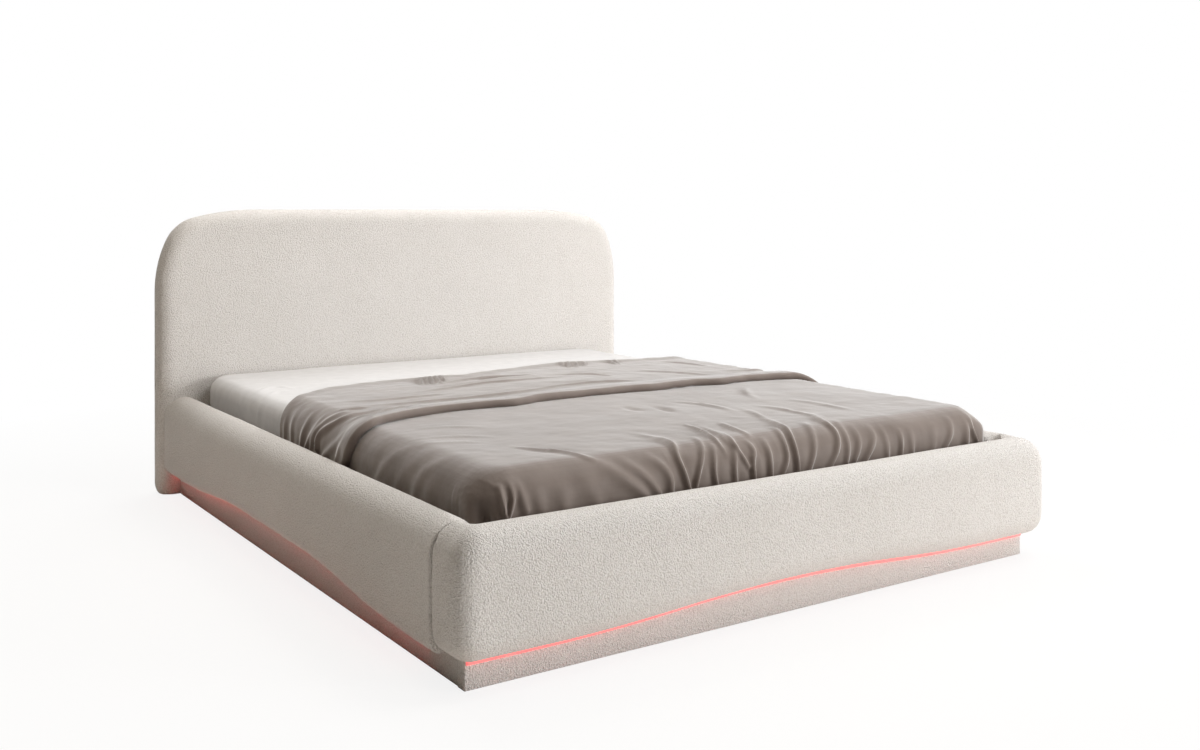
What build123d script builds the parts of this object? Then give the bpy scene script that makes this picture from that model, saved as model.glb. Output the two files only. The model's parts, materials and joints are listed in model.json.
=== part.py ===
from build123d import *
from math import cos, radians, sin
import os

# Upholstered double bed: padded side rails, footboard and headboard round a slatted base, on a
# plinth set back under them, with a line of light under the rails.
# Millimetres. X runs across the bed, +Y from the footboard to the headboard, +Z up.
# The origin is on the floor, under the middle of the bed.

# Mattress, and the well that holds it
mattress_width = 1600
mattress_length = 2000
mattress_height = 200
side_gap = 20
foot_gap = 16
head_gap = 4

# Padded frame
rail_thickness = 110
rail_top = 332
rail_top_outer_round = 64
rail_top_inner_round = 44
rail_bottom_outer_round = 30
rail_bottom_inner_round = 10
rail_foot_underside = 64
rail_middle_underside = 103
rail_head_underside = 74
rail_arch_half_crest = 200
rail_arch_end_run = 126

footboard_thickness = 112
footboard_bulge = 6
footboard_top_round = 78
footboard_low_round = 54
footboard_front_round = 42
footboard_back_round = 12
footboard_end_underside = 64
footboard_middle_underside = 88
footboard_arch_end_run = 230

headboard_thickness = 104
headboard_overhang = 19
headboard_height = 974
headboard_crown_radius = 900
headboard_crown_turn = 14
headboard_shoulder_radius = 140
headboard_shoulder_turn = 52
headboard_flank_radius = 430
headboard_foot_round = 55
headboard_foot_drop = 20
headboard_edge_round = 48

# Upholstery
cover_thickness = 3
soft_gap = 0.3
joint_gap = 0.3
overrun = 1
staple_line_low = 108
staple_line_high = 190

# Timber inside the padding
core_thickness = 45
core_top = 285
footboard_core_inset = 28
headboard_core_thickness = 42
headboard_core_inset = 50
headboard_core_board = 12
headboard_batten_width = 60
headboard_upright_pitch = 520
headboard_block_low = 60
headboard_block_high = 250
headboard_wadding = 3
back_panel_inset = 60

# Plinth
plinth_setback_side = 50
plinth_setback_front = 59
plinth_board = 25
plinth_side_kink = 2
plinth_return = 30
plinth_rear_board_height = 68
plinth_rear_gap = 60

# Light under the rails
light_depth = 6
light_height = 10
light_nose_chamfer = 2
light_end_gap = 4
driver_length = 180
driver_height = 34
driver_depth = 50
driver_round = 5
driver_inlet_width = 18
driver_inlet_height = 10
driver_inlet_depth = 12
driver_inlet_chamfer = 2
driver_rise = 30

# Slatted base
ledge_width = 30
ledge_height = 35
ledge_top = 165
ledge_end_gap = 60
ledge_chamfer = 4
slat_rows = 13
slat_end_run = 118
slat_width = 53
slat_thickness = 8
slat_rise = 10
slat_end_chamfer = 4
cap_wall = 4
cap_floor = 5
cap_roof = 4
cap_pocket_height = 10
cap_length = 32
cap_web = 6
cap_chamfer = 2
slat_side_play = 0.4
slat_end_play = 2

beam_width = 50
beam_height = 70
beam_chamfer = 3
stirrup_wall = 3
stirrup_depth = 60
stirrup_flange = 35

# Centre legs, each with a screw foot
leg_pitch = 620
leg_count = 3
leg_plate_length = 90
leg_plate_thickness = 4
leg_radius = 19
leg_tube_wall = 2
leg_bottom = 30
leg_nut_thickness = 9
foot_radius = 22
foot_height = 10
foot_edge_chamfer = 3
stem_radius = 5
stem_clearance = 0.06
stem_length = 42

# Corner brackets and bolts
bracket_leg = 50
bracket_wall = 4
bracket_low = 112
bracket_high = 162
bracket_inner_round = 6
bolt_radius = 4
bolt_length = 40
bolt_head_radius = 8
bolt_head_height = 5
bolt_hole_clearance = 0.2
bolt_from_edge = 16
bolt_from_corner = 32

# Bedding
mattress_corner_round = 80
mattress_edge_round = 42
mattress_crown = 8
mattress_waist = 2
sheet_thickness = 1.2
sheet_hem = 8
coverlet_thickness = 8
coverlet_head_edge = 455
coverlet_flap_edge = -195
coverlet_roll_height = 22
coverlet_roll_depth = 34
coverlet_roll_round = 9
coverlet_hem = 30
foot_fold_depth = 6
side_fold_depth = 5

# Widths of the folds in the tucked cloth, as shares of the edge that they hang from
foot_fold_shares = (9, 6, 8, 5, 7, 6, 4, 5, 4, 6, 5, 4, 6, 5, 8, 5, 7)
side_fold_shares = (11, 7, 9, 6, 12, 8, 6, 9, 13, 8)

# Places worked out from the sizes above
rail_inner_x = mattress_width / 2 + side_gap
rail_outer_x = rail_inner_x + rail_thickness
well_length = mattress_length + foot_gap + head_gap
bed_length = footboard_thickness + well_length + headboard_thickness
front_y = -bed_length / 2
well_front_y = front_y + footboard_thickness
well_back_y = well_front_y + well_length
back_y = bed_length / 2
plinth_front_y = front_y + plinth_setback_front
plinth_outer_x = rail_outer_x - plinth_setback_side
headboard_half_width = rail_outer_x + headboard_overhang
rail_arch_half_span = -well_front_y - rail_arch_end_run
footboard_arch_half_span = rail_outer_x - footboard_arch_end_run
slat_pitch = 2 * (-well_front_y - slat_end_run) / (slat_rows - 1)
slat_seat = ledge_top + cap_floor
slat_crown = slat_seat + slat_rise + slat_thickness
mattress_bottom = slat_crown + soft_gap
mattress_foot_y = well_front_y + foot_gap
mattress_y = mattress_foot_y + mattress_length / 2
core_inner_x = rail_inner_x + cover_thickness


def block(x, y, z):
    """Rectangular block between two places on each axis."""
    size = [high - low for low, high in (x, y, z)]
    centre = [(high + low) / 2 for low, high in (x, y, z)]
    return Pos(*centre) * Box(*size)


def both_sides(shape):
    """The same piece on the left and on the right of the bed."""
    return {"left": mirror(shape, Plane.YZ), "right": shape}


def level_to_level(start, end):
    """Two tangent arcs that leave one height level and arrive level at another."""
    middle = ((start[0] + end[0]) / 2, (start[1] + end[1]) / 2)
    way = 1 if end[0] > start[0] else -1
    return [TangentArc(start, middle, tangent=(way, 0)), TangentArc(end, middle, tangent=(-way, 0))]


def low_edges(face, limit):
    """The edges of an upright face that lie below a height."""
    return [edge for edge in face.edges() if edge.center().Z < limit and edge.bounding_box().size.Z < limit]


def footboard_underside(lift):
    """Arched line under the footboard, from its left level end to its right one."""
    low = footboard_end_underside + lift
    high = footboard_middle_underside + lift
    span = footboard_arch_half_span
    return level_to_level((-span, low), (0, high)) + level_to_level((0, high), (span, low))


def rail_underside(lift):
    """Arched line under a side rail, from the foot end to the head end."""
    foot = (-rail_arch_half_span, rail_foot_underside + lift)
    crest_start = (-rail_arch_half_crest, rail_middle_underside + lift)
    crest_end = (rail_arch_half_crest, rail_middle_underside + lift)
    head = (rail_arch_half_span, rail_head_underside + lift)
    rise = level_to_level(foot, crest_start)
    fall = level_to_level(crest_end, head)
    return rise + [Line(crest_start, crest_end)] + fall


# Headboard

def headboard_outline(inset):
    """Front view of the headboard: level top, crown, tight shoulder, easing flank and rounded foot."""
    first = radians(headboard_crown_turn)
    second = first + radians(headboard_shoulder_turn)
    crown_to_shoulder = Vector(sin(first), cos(first)) * (headboard_crown_radius - headboard_shoulder_radius)
    shoulder_to_flank = Vector(sin(second), cos(second)) * (headboard_shoulder_radius - headboard_flank_radius)
    flank_x = headboard_half_width - headboard_flank_radius
    half_flat = flank_x - shoulder_to_flank.X - crown_to_shoulder.X
    crown_centre = Vector(half_flat, headboard_height - headboard_crown_radius)
    shoulder_centre = crown_centre + crown_to_shoulder
    flank_centre = shoulder_centre + shoulder_to_flank

    side = headboard_half_width - inset
    top = headboard_height - inset
    low = inset - headboard_foot_drop
    foot = max(headboard_foot_round - inset, overrun)
    crown_angle = 90 - headboard_crown_turn
    shoulder_angle = crown_angle - headboard_shoulder_turn
    half = [
        Line((0, top), (half_flat, top)),
        CenterArc(crown_centre, headboard_crown_radius - inset, crown_angle, headboard_crown_turn),
        CenterArc(shoulder_centre, headboard_shoulder_radius - inset, shoulder_angle, headboard_shoulder_turn),
        CenterArc(flank_centre, headboard_flank_radius - inset, 0, shoulder_angle),
        Line((side, flank_centre.Y), (side, low + foot)),
        CenterArc((side - foot, low + foot), foot, -90, 90),
        Line((side - foot, low), (0, low)),
    ]
    other = [mirror(edge, Plane.YZ) for edge in half]
    return make_face(Wire(Curve(half + other).edges()))


def below(height):
    """Everything under a height, down past the headboard's rounded foot."""
    return block((-bed_length, bed_length), (-bed_length, bed_length), (-headboard_foot_round, height))


def headboard_form(inset):
    """The padded headboard, drawn in on every face and cut level where it stands."""
    depth = headboard_thickness - 2 * inset
    outline = Plane.XZ.offset(-(well_back_y + inset)) * headboard_outline(inset)
    form = extrude(outline, -depth)
    ends = form.faces().filter_by(Axis.Y)
    radius = headboard_edge_round - inset
    form = fillet([edge for face in ends for edge in face.edges()], radius)
    return form - below(inset)


def headboard_window():
    """Strip of the headboard's front face below the mattress, left bare for the brackets."""
    y = (well_back_y - overrun, well_back_y + cover_thickness)
    return block((-core_inner_x, core_inner_x), y, (staple_line_low, staple_line_high))


def back_window(inset, depth):
    """Opening in the back of the cover, closed by the back panel."""
    outline = headboard_outline(back_panel_inset + inset)
    body = extrude(Plane.XZ.offset(-(back_y - cover_thickness)) * outline, -depth)
    return body - below(back_panel_inset + inset)


def headboard_core():
    """Glued frame: a board, battens round its edge and uprights behind it, and a block for the rails."""
    back = back_y - cover_thickness - headboard_wadding
    front = back - headboard_core_thickness
    outer = headboard_outline(headboard_core_inset)
    inner = headboard_outline(headboard_core_inset + headboard_batten_width)
    envelope = extrude(Plane.XZ.offset(-front) * outer, -headboard_core_thickness)
    envelope -= below(cover_thickness + soft_gap)
    hollow = extrude(Plane.XZ.offset(-(front + headboard_core_board)) * inner, -headboard_core_thickness)
    hollow -= below(headboard_block_high)
    for place in (-1, 0, 1):
        x = place * headboard_upright_pitch
        width = headboard_batten_width / 2
        hollow -= block((x - width, x + width), (0, bed_length), (0, headboard_height))
    y = (well_back_y + cover_thickness, front)
    rail_block = block((-core_inner_x, core_inner_x), y, (headboard_block_low, headboard_block_high))
    return envelope - hollow + rail_block, envelope + rail_block


# Footboard

def round_ends(face, inset):
    """Round the four corners of a view of the footboard, tighter below than above."""
    span = footboard_arch_half_span
    corners = face.vertices().filter_by(lambda vertex: abs(vertex.X) > span + overrun)
    face = fillet(corners.sort_by(Axis.Z)[:2], footboard_low_round - inset)
    corners = face.vertices().sort_by(Axis.Z)[-2:]
    return fillet(corners, footboard_top_round - inset)


def footboard_outline(inset):
    """Front view of the footboard: level top, bulging ends, arched underside."""
    top = rail_top - inset
    low = footboard_end_underside + inset
    side = rail_outer_x - inset
    corner = side - footboard_bulge
    middle = (top + low) / 2
    span = footboard_arch_half_span
    edges = footboard_underside(inset) + [
        Line((span, low), (corner, low)),
        ThreePointArc((corner, low), (side, middle), (corner, top)),
        Line((corner, top), (-corner, top)),
        ThreePointArc((-corner, top), (-side, middle), (-corner, low)),
        Line((-corner, low), (-span, low)),
    ]
    return round_ends(make_face(Wire(Curve(edges).edges())), inset)


def footboard_form(inset):
    """The padded footboard, drawn in on every face."""
    depth = footboard_thickness - 2 * inset
    form = extrude(Plane.XZ.offset(-(front_y + inset)) * footboard_outline(inset), -depth)
    form = fillet(form.faces().sort_by(Axis.Y)[0].edges(), footboard_front_round - inset)
    return fillet(form.faces().sort_by(Axis.Y)[-1].edges(), footboard_back_round - inset)


def footboard_window():
    """Strip of the footboard's inner face below the mattress, left bare for the brackets."""
    y = (well_front_y - cover_thickness, well_front_y + overrun)
    return block((-core_inner_x, core_inner_x), y, (staple_line_low, staple_line_high))


def footboard_board(lift):
    """Board behind the padding, its lower edge following the arch at a height above it."""
    side = rail_outer_x - footboard_core_inset
    low = footboard_end_underside + lift
    span = footboard_arch_half_span
    edges = footboard_underside(lift) + [
        Line((span, low), (side, low)),
        Line((side, low), (side, core_top)),
        Line((side, core_top), (-side, core_top)),
        Line((-side, core_top), (-side, low)),
        Line((-side, low), (-span, low)),
    ]
    face = round_ends(make_face(Wire(Curve(edges).edges())), footboard_core_inset)
    rear = well_front_y - cover_thickness
    return extrude(Plane.XZ.offset(-(rear - core_thickness)) * face, -core_thickness)


def footboard_core():
    """The board inside the footboard, which stands on the plinth through the cover."""
    board = footboard_board(cover_thickness + soft_gap)
    inner = board.faces().filter_by(Axis.Y).sort_by(Axis.Y)[-1]
    return chamfer(inner.edges(), footboard_back_round)


# Side rails, drawn on the right

def rail_side_view(low_y, high_y, lift, top):
    """Side view of a rail: level top and arched underside."""
    span = rail_arch_half_span
    foot = rail_foot_underside + lift
    head = rail_head_underside + lift
    edges = [Line((low_y, foot), (-span, foot))] + rail_underside(lift) + [
        Line((span, head), (high_y, head)),
        Line((high_y, head), (high_y, top)),
        Line((high_y, top), (low_y, top)),
        Line((low_y, top), (low_y, foot)),
    ]
    return make_face(Wire(Curve(edges).edges()))


def rail_form(inset):
    """The padded rail, drawn in on every face; its head end follows the headboard's rolled edge."""
    low_y = well_front_y + inset
    high_y = well_back_y + headboard_edge_round
    view = rail_side_view(low_y, high_y, inset, rail_top - inset)
    form = extrude(Plane.YZ.offset(rail_inner_x + inset) * view, rail_thickness - 2 * inset)
    top_edges = form.edges().filter_by(Axis.Y).group_by(Axis.Z)[-1].sort_by(Axis.X)
    form = fillet(top_edges[0], rail_top_inner_round - inset)
    top_edges = form.edges().filter_by(Axis.Y).group_by(Axis.Z)[-1].sort_by(Axis.X)
    form = fillet(top_edges[-1], rail_top_outer_round - inset)
    outer = form.faces().filter_by(Axis.X).sort_by(Axis.X)[-1]
    form = fillet(low_edges(outer, rail_middle_underside + inset + overrun), rail_bottom_outer_round - inset)
    inner = form.faces().filter_by(Axis.X).sort_by(Axis.X)[0]
    form = fillet(low_edges(inner, rail_middle_underside + inset + overrun), rail_bottom_inner_round - inset)
    return form - headboard_form(-inset - joint_gap)


def rail_window():
    """Strip of the rail's inner face below the mattress, left bare for the ledge and brackets."""
    x = (rail_inner_x - overrun, core_inner_x)
    y = (well_front_y - overrun, well_back_y + overrun)
    return block(x, y, (staple_line_low, staple_line_high))


def rail_board(lift, reach):
    """Board inside the rail, its lower edge following the arch; reach is how far it passes the well's ends."""
    view = rail_side_view(well_front_y - reach, well_back_y + reach, lift, core_top)
    return extrude(Plane.YZ.offset(core_inner_x) * view, core_thickness)


def rail_core():
    """The board inside the rail, which stands on the plinth through the cover."""
    lift = cover_thickness + soft_gap
    board = rail_board(lift, -lift)
    inner = board.faces().filter_by(Axis.X).sort_by(Axis.X)[0]
    return chamfer(low_edges(inner, rail_middle_underside + lift + overrun), rail_bottom_inner_round)


# Plinth

def plinth_front_board():
    """Board under the footboard, its top edge following the arch."""
    low = cover_thickness
    side = plinth_outer_x - cover_thickness
    end = footboard_end_underside - soft_gap
    span = footboard_arch_half_span
    edges = footboard_underside(-soft_gap) + [
        Line((span, end), (side, end)),
        Line((side, end), (side, low)),
        Line((side, low), (-side, low)),
        Line((-side, low), (-side, end)),
        Line((-side, end), (-span, end)),
    ]
    face = make_face(Wire(Curve(edges).edges()))
    return extrude(Plane.XZ.offset(-(plinth_front_y + cover_thickness)) * face, -plinth_board)


def plinth_front_cover(board):
    """Fabric round the front board: over its face, ends and foot, and a little way up its back."""
    wall = cover_thickness
    span = footboard_arch_half_span
    side = plinth_outer_x
    end = footboard_end_underside - soft_gap
    edges = footboard_underside(-soft_gap) + [
        Line((span, end), (side, end)),
        Line((side, end), (side, 0)),
        Line((side, 0), (-side, 0)),
        Line((-side, 0), (-side, end)),
        Line((-side, end), (-span, end)),
    ]
    face = make_face(Wire(Curve(edges).edges()))
    outer = extrude(Plane.XZ.offset(-plinth_front_y) * face, -(plinth_board + 2 * wall))
    bare_y = (plinth_front_y + wall + plinth_board, 0)
    bare = block((-side, side), bare_y, (plinth_return, rail_top))
    return outer - board - bare


def plinth_side(inset, low_y, high_y, bottom):
    """Straight length of the plinth under a rail, its top edge following the rail's arch."""
    outer_x = plinth_outer_x - plinth_side_kink - inset
    width = plinth_board + 2 * (cover_thickness - inset)
    span = rail_arch_half_span
    foot = rail_foot_underside - soft_gap
    head = rail_head_underside - soft_gap
    edges = [Line((low_y, foot), (-span, foot))] + rail_underside(-soft_gap) + [
        Line((span, head), (high_y, head)),
        Line((high_y, head), (high_y, bottom)),
        Line((high_y, bottom), (low_y, bottom)),
        Line((low_y, bottom), (low_y, foot)),
    ]
    face = make_face(Wire(Curve(edges).edges()))
    return extrude(Plane.YZ.offset(outer_x - width) * face, width)


def plinth_side_pieces():
    """Board and fabric on the right; the fabric leaves the top of the board's inner face bare."""
    low_y = plinth_front_y + plinth_board + 2 * cover_thickness
    high_y = well_back_y - joint_gap
    board = plinth_side(cover_thickness, low_y, high_y, cover_thickness)
    whole = plinth_side(0, low_y, high_y, 0)
    inner_x = plinth_outer_x - plinth_side_kink - cover_thickness - plinth_board
    bare = block((0, inner_x), (front_y, back_y), (plinth_return, rail_top))
    return board, whole - board - bare


def plinth_rear_board():
    """Board across the head end of the plinth, between its sides, that carries the driver."""
    inner_x = plinth_outer_x - plinth_side_kink - plinth_board - 2 * cover_thickness - joint_gap
    high_y = well_back_y - plinth_rear_gap
    y = (high_y - plinth_board, high_y)
    return block((-inner_x, inner_x), y, (0, plinth_rear_board_height))


# Light

def light_front():
    """Flexible light tube along the plinth's front, bent to the footboard's arch."""
    top = -soft_gap
    bottom = -soft_gap - light_height
    end = plinth_outer_x - light_end_gap
    span = footboard_arch_half_span
    low = footboard_end_underside
    edges = footboard_underside(top) + footboard_underside(bottom) + [
        Line((span, low + top), (end, low + top)),
        Line((end, low + top), (end, low + bottom)),
        Line((end, low + bottom), (span, low + bottom)),
        Line((-span, low + bottom), (-end, low + bottom)),
        Line((-end, low + bottom), (-end, low + top)),
        Line((-end, low + top), (-span, low + top)),
    ]
    face = make_face(Wire(Curve(edges).edges()))
    strip = extrude(Plane.XZ.offset(-(plinth_front_y - joint_gap - light_depth)) * face, -light_depth)
    nose = strip.faces().sort_by(Axis.Y)[0]
    return chamfer(nose.edges(), light_nose_chamfer)


def light_side():
    """Flexible light tube along the plinth's right side, bent to the rail's arch."""
    low_y = plinth_front_y + light_end_gap
    high_y = well_back_y - light_end_gap
    span = rail_arch_half_span
    edges = rail_underside(-soft_gap) + rail_underside(-soft_gap - light_height)
    for end_y, arch_y, under in ((low_y, -span, rail_foot_underside), (high_y, span, rail_head_underside)):
        top = under - soft_gap
        edges.append(Line((arch_y, top), (end_y, top)))
        edges.append(Line((end_y, top), (end_y, top - light_height)))
        edges.append(Line((end_y, top - light_height), (arch_y, top - light_height)))
    face = make_face(Wire(Curve(edges).edges()))
    return extrude(Plane.YZ.offset(plinth_outer_x + joint_gap) * face, light_depth)


def light_driver():
    """Driver box on the rear board, with the socket for its mains lead."""
    high_y = well_back_y - plinth_rear_gap - plinth_board
    low_y = high_y - driver_depth
    half = driver_length / 2
    z = (driver_rise, driver_rise + driver_height)
    body = block((-half, half), (low_y, high_y), z)
    front = body.faces().sort_by(Axis.Y)[0]
    body = fillet(front.edges(), driver_round)
    middle_y = (low_y + high_y) / 2
    middle_z = driver_rise + driver_height / 2
    width = driver_inlet_width / 2
    height = driver_inlet_height / 2
    x = (half - driver_inlet_depth, half + overrun)
    y = (middle_y - width, middle_y + width)
    inlet = block(x, y, (middle_z - height, middle_z + height))
    return body - chamfer(inlet.edges().filter_by(Axis.X), driver_inlet_chamfer)


# Slatted base

def ledge():
    """Batten screwed along the inside of the right rail."""
    x = (core_inner_x - ledge_width, core_inner_x)
    y = (well_front_y + ledge_end_gap, well_back_y - ledge_end_gap)
    body = block(x, y, (ledge_top - ledge_height, ledge_top))
    edge = body.edges().filter_by(Axis.Y).sort_by(Axis.X)[:2].sort_by(Axis.Z)[0]
    return chamfer(edge, ledge_chamfer)


def centre_beam():
    """Beam down the middle, held at each end in a stirrup."""
    gap = cover_thickness - joint_gap - stirrup_wall
    y = (well_front_y - gap, well_back_y + gap)
    half = beam_width / 2
    body = block((-half, half), y, (ledge_top - beam_height, ledge_top))
    return chamfer(body.edges().filter_by(Axis.Y).group_by(Axis.Z)[0], beam_chamfer)


def stirrup(face_y, way):
    """Folded plate that holds one end of the beam against the board inside the frame."""
    half = beam_width / 2 + joint_gap
    wall = stirrup_wall
    low = ledge_top - beam_height - joint_gap
    depth = sorted((face_y, face_y + way * stirrup_depth))
    plate = sorted((face_y, face_y + way * wall))
    tray = block((-half - wall, half + wall), depth, (low - wall, ledge_top))
    tray -= block((-half, half), (front_y, back_y), (low, rail_top))
    reach = half + stirrup_flange
    flanges = block((-reach, reach), plate, (staple_line_low, ledge_top))
    cover = sorted((face_y, face_y + way * (cover_thickness + joint_gap)))
    return tray + flanges - block((-reach, reach), cover, (0, staple_line_low))


def slat_row(y):
    """Two sprung slats, bowed upwards, end to end across the bed."""
    start = cap_web / 2 + slat_end_play
    end = core_inner_x - cap_wall - slat_end_play
    middle = (start + end) / 2
    top = slat_seat + slat_thickness
    edges = [
        ThreePointArc((start, slat_seat), (middle, slat_seat + slat_rise), (end, slat_seat)),
        Line((end, slat_seat), (end, top)),
        ThreePointArc((end, top), (middle, top + slat_rise), (start, top)),
        Line((start, top), (start, slat_seat)),
    ]
    face = make_face(Wire(Curve(edges).edges()))
    slat = extrude(Plane.XZ.offset(-(y - slat_width / 2)) * face, -slat_width)
    slat = chamfer(slat.edges().filter_by(Axis.Z), slat_end_chamfer)
    return Compound([slat.solid(), mirror(slat, Plane.YZ).solid()])


def cap(x, y, open_low, open_high):
    """Plastic holder for slat ends, open on one side or on both."""
    half = slat_width / 2 + slat_side_play + cap_wall
    roof = slat_seat + cap_pocket_height + cap_roof
    body = block(x, (y - half, y + half), (ledge_top, roof))
    body = chamfer(body.edges().filter_by(Axis.X).group_by(Axis.Z)[-1], cap_chamfer)
    pocket_half = half - cap_wall
    pocket_z = (slat_seat, slat_seat + cap_pocket_height)
    low = x[0] - overrun if open_low else x[0] + cap_wall
    high = x[1] + overrun if open_high else x[1] - cap_wall
    pocket = block((low, high), (y - pocket_half, y + pocket_half), pocket_z)
    if open_low and open_high:
        web = cap_web / 2
        middle = (x[0] + x[1]) / 2
        pocket -= block((middle - web, middle + web), (y - half, y + half), (0, roof))
    return body - pocket


def slat_places():
    """Where the rows of slats lie along the bed."""
    return [(row - (slat_rows - 1) / 2) * slat_pitch for row in range(slat_rows)]


def centre_leg(y):
    """Welded leg under the beam: plate, tube, and a threaded plug for the foot."""
    top = ledge_top - beam_height
    half = beam_width / 2
    reach = leg_plate_length / 2
    plate = block((-half, half), (y - reach, y + reach), (top - leg_plate_thickness, top))
    length = top - leg_plate_thickness - leg_bottom
    tube = Pos(0, y, leg_bottom + length / 2) * Cylinder(leg_radius, length)
    bore_length = length - leg_nut_thickness
    bore_middle = leg_bottom + leg_nut_thickness + bore_length / 2
    tube -= Pos(0, y, bore_middle) * Cylinder(leg_radius - leg_tube_wall, bore_length)
    nut_middle = leg_bottom + leg_nut_thickness / 2
    tube -= Pos(0, y, nut_middle) * Cylinder(stem_radius + stem_clearance, leg_nut_thickness)
    return plate + tube


def screw_foot(y):
    """Foot with a stem that screws up into the leg."""
    disc = Pos(0, y, foot_height / 2) * Cylinder(foot_radius, foot_height)
    disc = chamfer(disc.edges().filter_by(GeomType.CIRCLE).group_by(Axis.Z)[-1], foot_edge_chamfer)
    stem = Pos(0, y, foot_height + stem_length / 2) * Cylinder(stem_radius, stem_length)
    return disc + stem


# Corner brackets and bolts

def bracket_sides():
    """Angle between the right rail and the footboard, then the one at the headboard."""
    found = []
    for face_y, way in ((well_front_y - cover_thickness, 1), (well_back_y + cover_thickness, -1)):
        corner = (core_inner_x, face_y)
        far_x = core_inner_x - bracket_leg
        far_y = face_y + way * bracket_leg
        inside = (core_inner_x - bracket_wall, face_y + way * bracket_wall)
        outline = Polyline(
            corner, (core_inner_x, far_y), (inside[0], far_y), inside, (far_x, inside[1]), (far_x, face_y),
            close=True,
        )
        face = make_face(outline)
        bend = face.vertices().sort_by_distance((inside[0], inside[1], 0))[0]
        face = fillet(bend, bracket_inner_round)
        found.append(extrude(Pos(0, 0, bracket_low) * face, bracket_high - bracket_low))
    return found


def bolt_places():
    """Each bolt's place on the face of the wood, and the way that it points, on the right side."""
    found = []
    middle = (bracket_low + bracket_high) / 2
    offset = (bracket_high - bracket_low) / 2 - bolt_from_edge
    for face_y, way in ((well_front_y - cover_thickness, 1), (well_back_y + cover_thickness, -1)):
        for z in (middle - offset, middle + offset):
            beside = (core_inner_x, face_y + way * bolt_from_corner, z)
            across = (core_inner_x - bolt_from_corner, face_y, z)
            found.append((beside, (1, 0, 0)))
            found.append((across, (0, -way, 0)))
    return found


def rod(place, direction, section, back, length):
    """Bar of a section along a direction, starting some way behind a place."""
    way = Vector(*direction)
    plane = Plane(origin=Vector(*place) - way * back, z_dir=way)
    return extrude(plane * section, length, dir=way)


def bolts():
    """All the frame's hexagon bolts, on both sides."""
    solids = []
    head_back = bracket_wall + bolt_head_height
    for place, direction in bolt_places():
        shank = rod(place, direction, Circle(bolt_radius), bracket_wall, bracket_wall + bolt_length)
        head = rod(place, direction, RegularPolygon(bolt_head_radius, 6), head_back, bolt_head_height)
        bolt = shank + head
        solids += [bolt.solid(), mirror(bolt, Plane.YZ).solid()]
    return Compound(solids)


def bolt_holes():
    """Clearance holes for every bolt, on both sides, to cut from brackets and boards."""
    back = bracket_wall + overrun
    length = back + bolt_length + overrun
    section = Circle(bolt_radius + bolt_hole_clearance)
    holes = [rod(place, way, section, back, length) for place, way in bolt_places()]
    holes += [mirror(hole, Plane.YZ) for hole in holes]
    return holes


# Bedding

def mattress_view(half, outset):
    """Side view of the mattress: crowned top, sides drawn in at the waist, rounded edges."""
    side = half + outset
    low = mattress_bottom - outset
    crown = mattress_bottom + mattress_height + outset
    edge = crown - mattress_crown
    waist = side - mattress_waist
    middle = (low + edge) / 2
    edges = [
        Line((-side, low), (side, low)),
        ThreePointArc((side, low), (waist, middle), (side, edge)),
        ThreePointArc((side, edge), (0, crown), (-side, edge)),
        ThreePointArc((-side, edge), (-waist, middle), (-side, low)),
    ]
    face = make_face(Wire(Curve(edges).edges()))
    return fillet(face.vertices(), mattress_edge_round + outset)


def mattress_plan(outset):
    """Mattress from above, with outset for a layer over it."""
    width = mattress_width + 2 * outset
    return RectangleRounded(width, mattress_length + 2 * outset, mattress_corner_round + outset)


def end_slab(outset, low_y, high_y):
    """The mattress's end view drawn out along the bed."""
    view = mattress_view(mattress_width / 2, outset)
    return extrude(Plane.XZ.offset(-low_y) * view, high_y - low_y, dir=(0, 1, 0))


def draped(outset, plan):
    """Where the views from the end, the side and above agree; outset is how far the first two stand out."""
    reach = mattress_length
    side_view = Pos(mattress_y, 0) * mattress_view(mattress_length / 2, outset)
    across = extrude(Plane.YZ.offset(-reach) * side_view, 2 * reach, dir=(1, 0, 0))
    upright = extrude(Pos(0, mattress_y) * plan, reach, dir=(0, 0, 1))
    return end_slab(outset, -reach, reach) & upright & across


def layer(outset):
    """The mattress, or a smooth layer of cloth over it."""
    return draped(outset, mattress_plan(outset))


def folds_along(start, end, shares, depth):
    """Row of shallow bulges along the edge between two corners, each as wide as its share."""
    run = end - start
    outward = Vector(run.Y, -run.X).normalized() * depth
    found = []
    done = 0
    for share in shares:
        low = start + run * (done / sum(shares))
        done += share
        high = start + run * (done / sum(shares))
        crest = (low + high) / 2 + outward
        found.append(make_face(Wire(Curve([Line(low, high), ThreePointArc(high, crest, low)]).edges())))
    return found


def folded_plan(outset):
    """The tucked coverlet from above, with its main folds at the foot and down both sides."""
    half_x = mattress_width / 2 + outset
    half_y = mattress_length / 2 + outset
    inner_x = half_x - mattress_corner_round - outset
    inner_y = half_y - mattress_corner_round - outset
    folds = folds_along(Vector(-inner_x, -half_y), Vector(inner_x, -half_y), foot_fold_shares, foot_fold_depth)
    folds += folds_along(Vector(half_x, -inner_y), Vector(half_x, inner_y), side_fold_shares, side_fold_depth)
    folds += folds_along(Vector(-half_x, inner_y), Vector(-half_x, -inner_y), side_fold_shares, side_fold_depth)
    plan = mattress_plan(outset)
    for fold in folds:
        plan += fold
    return plan


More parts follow.
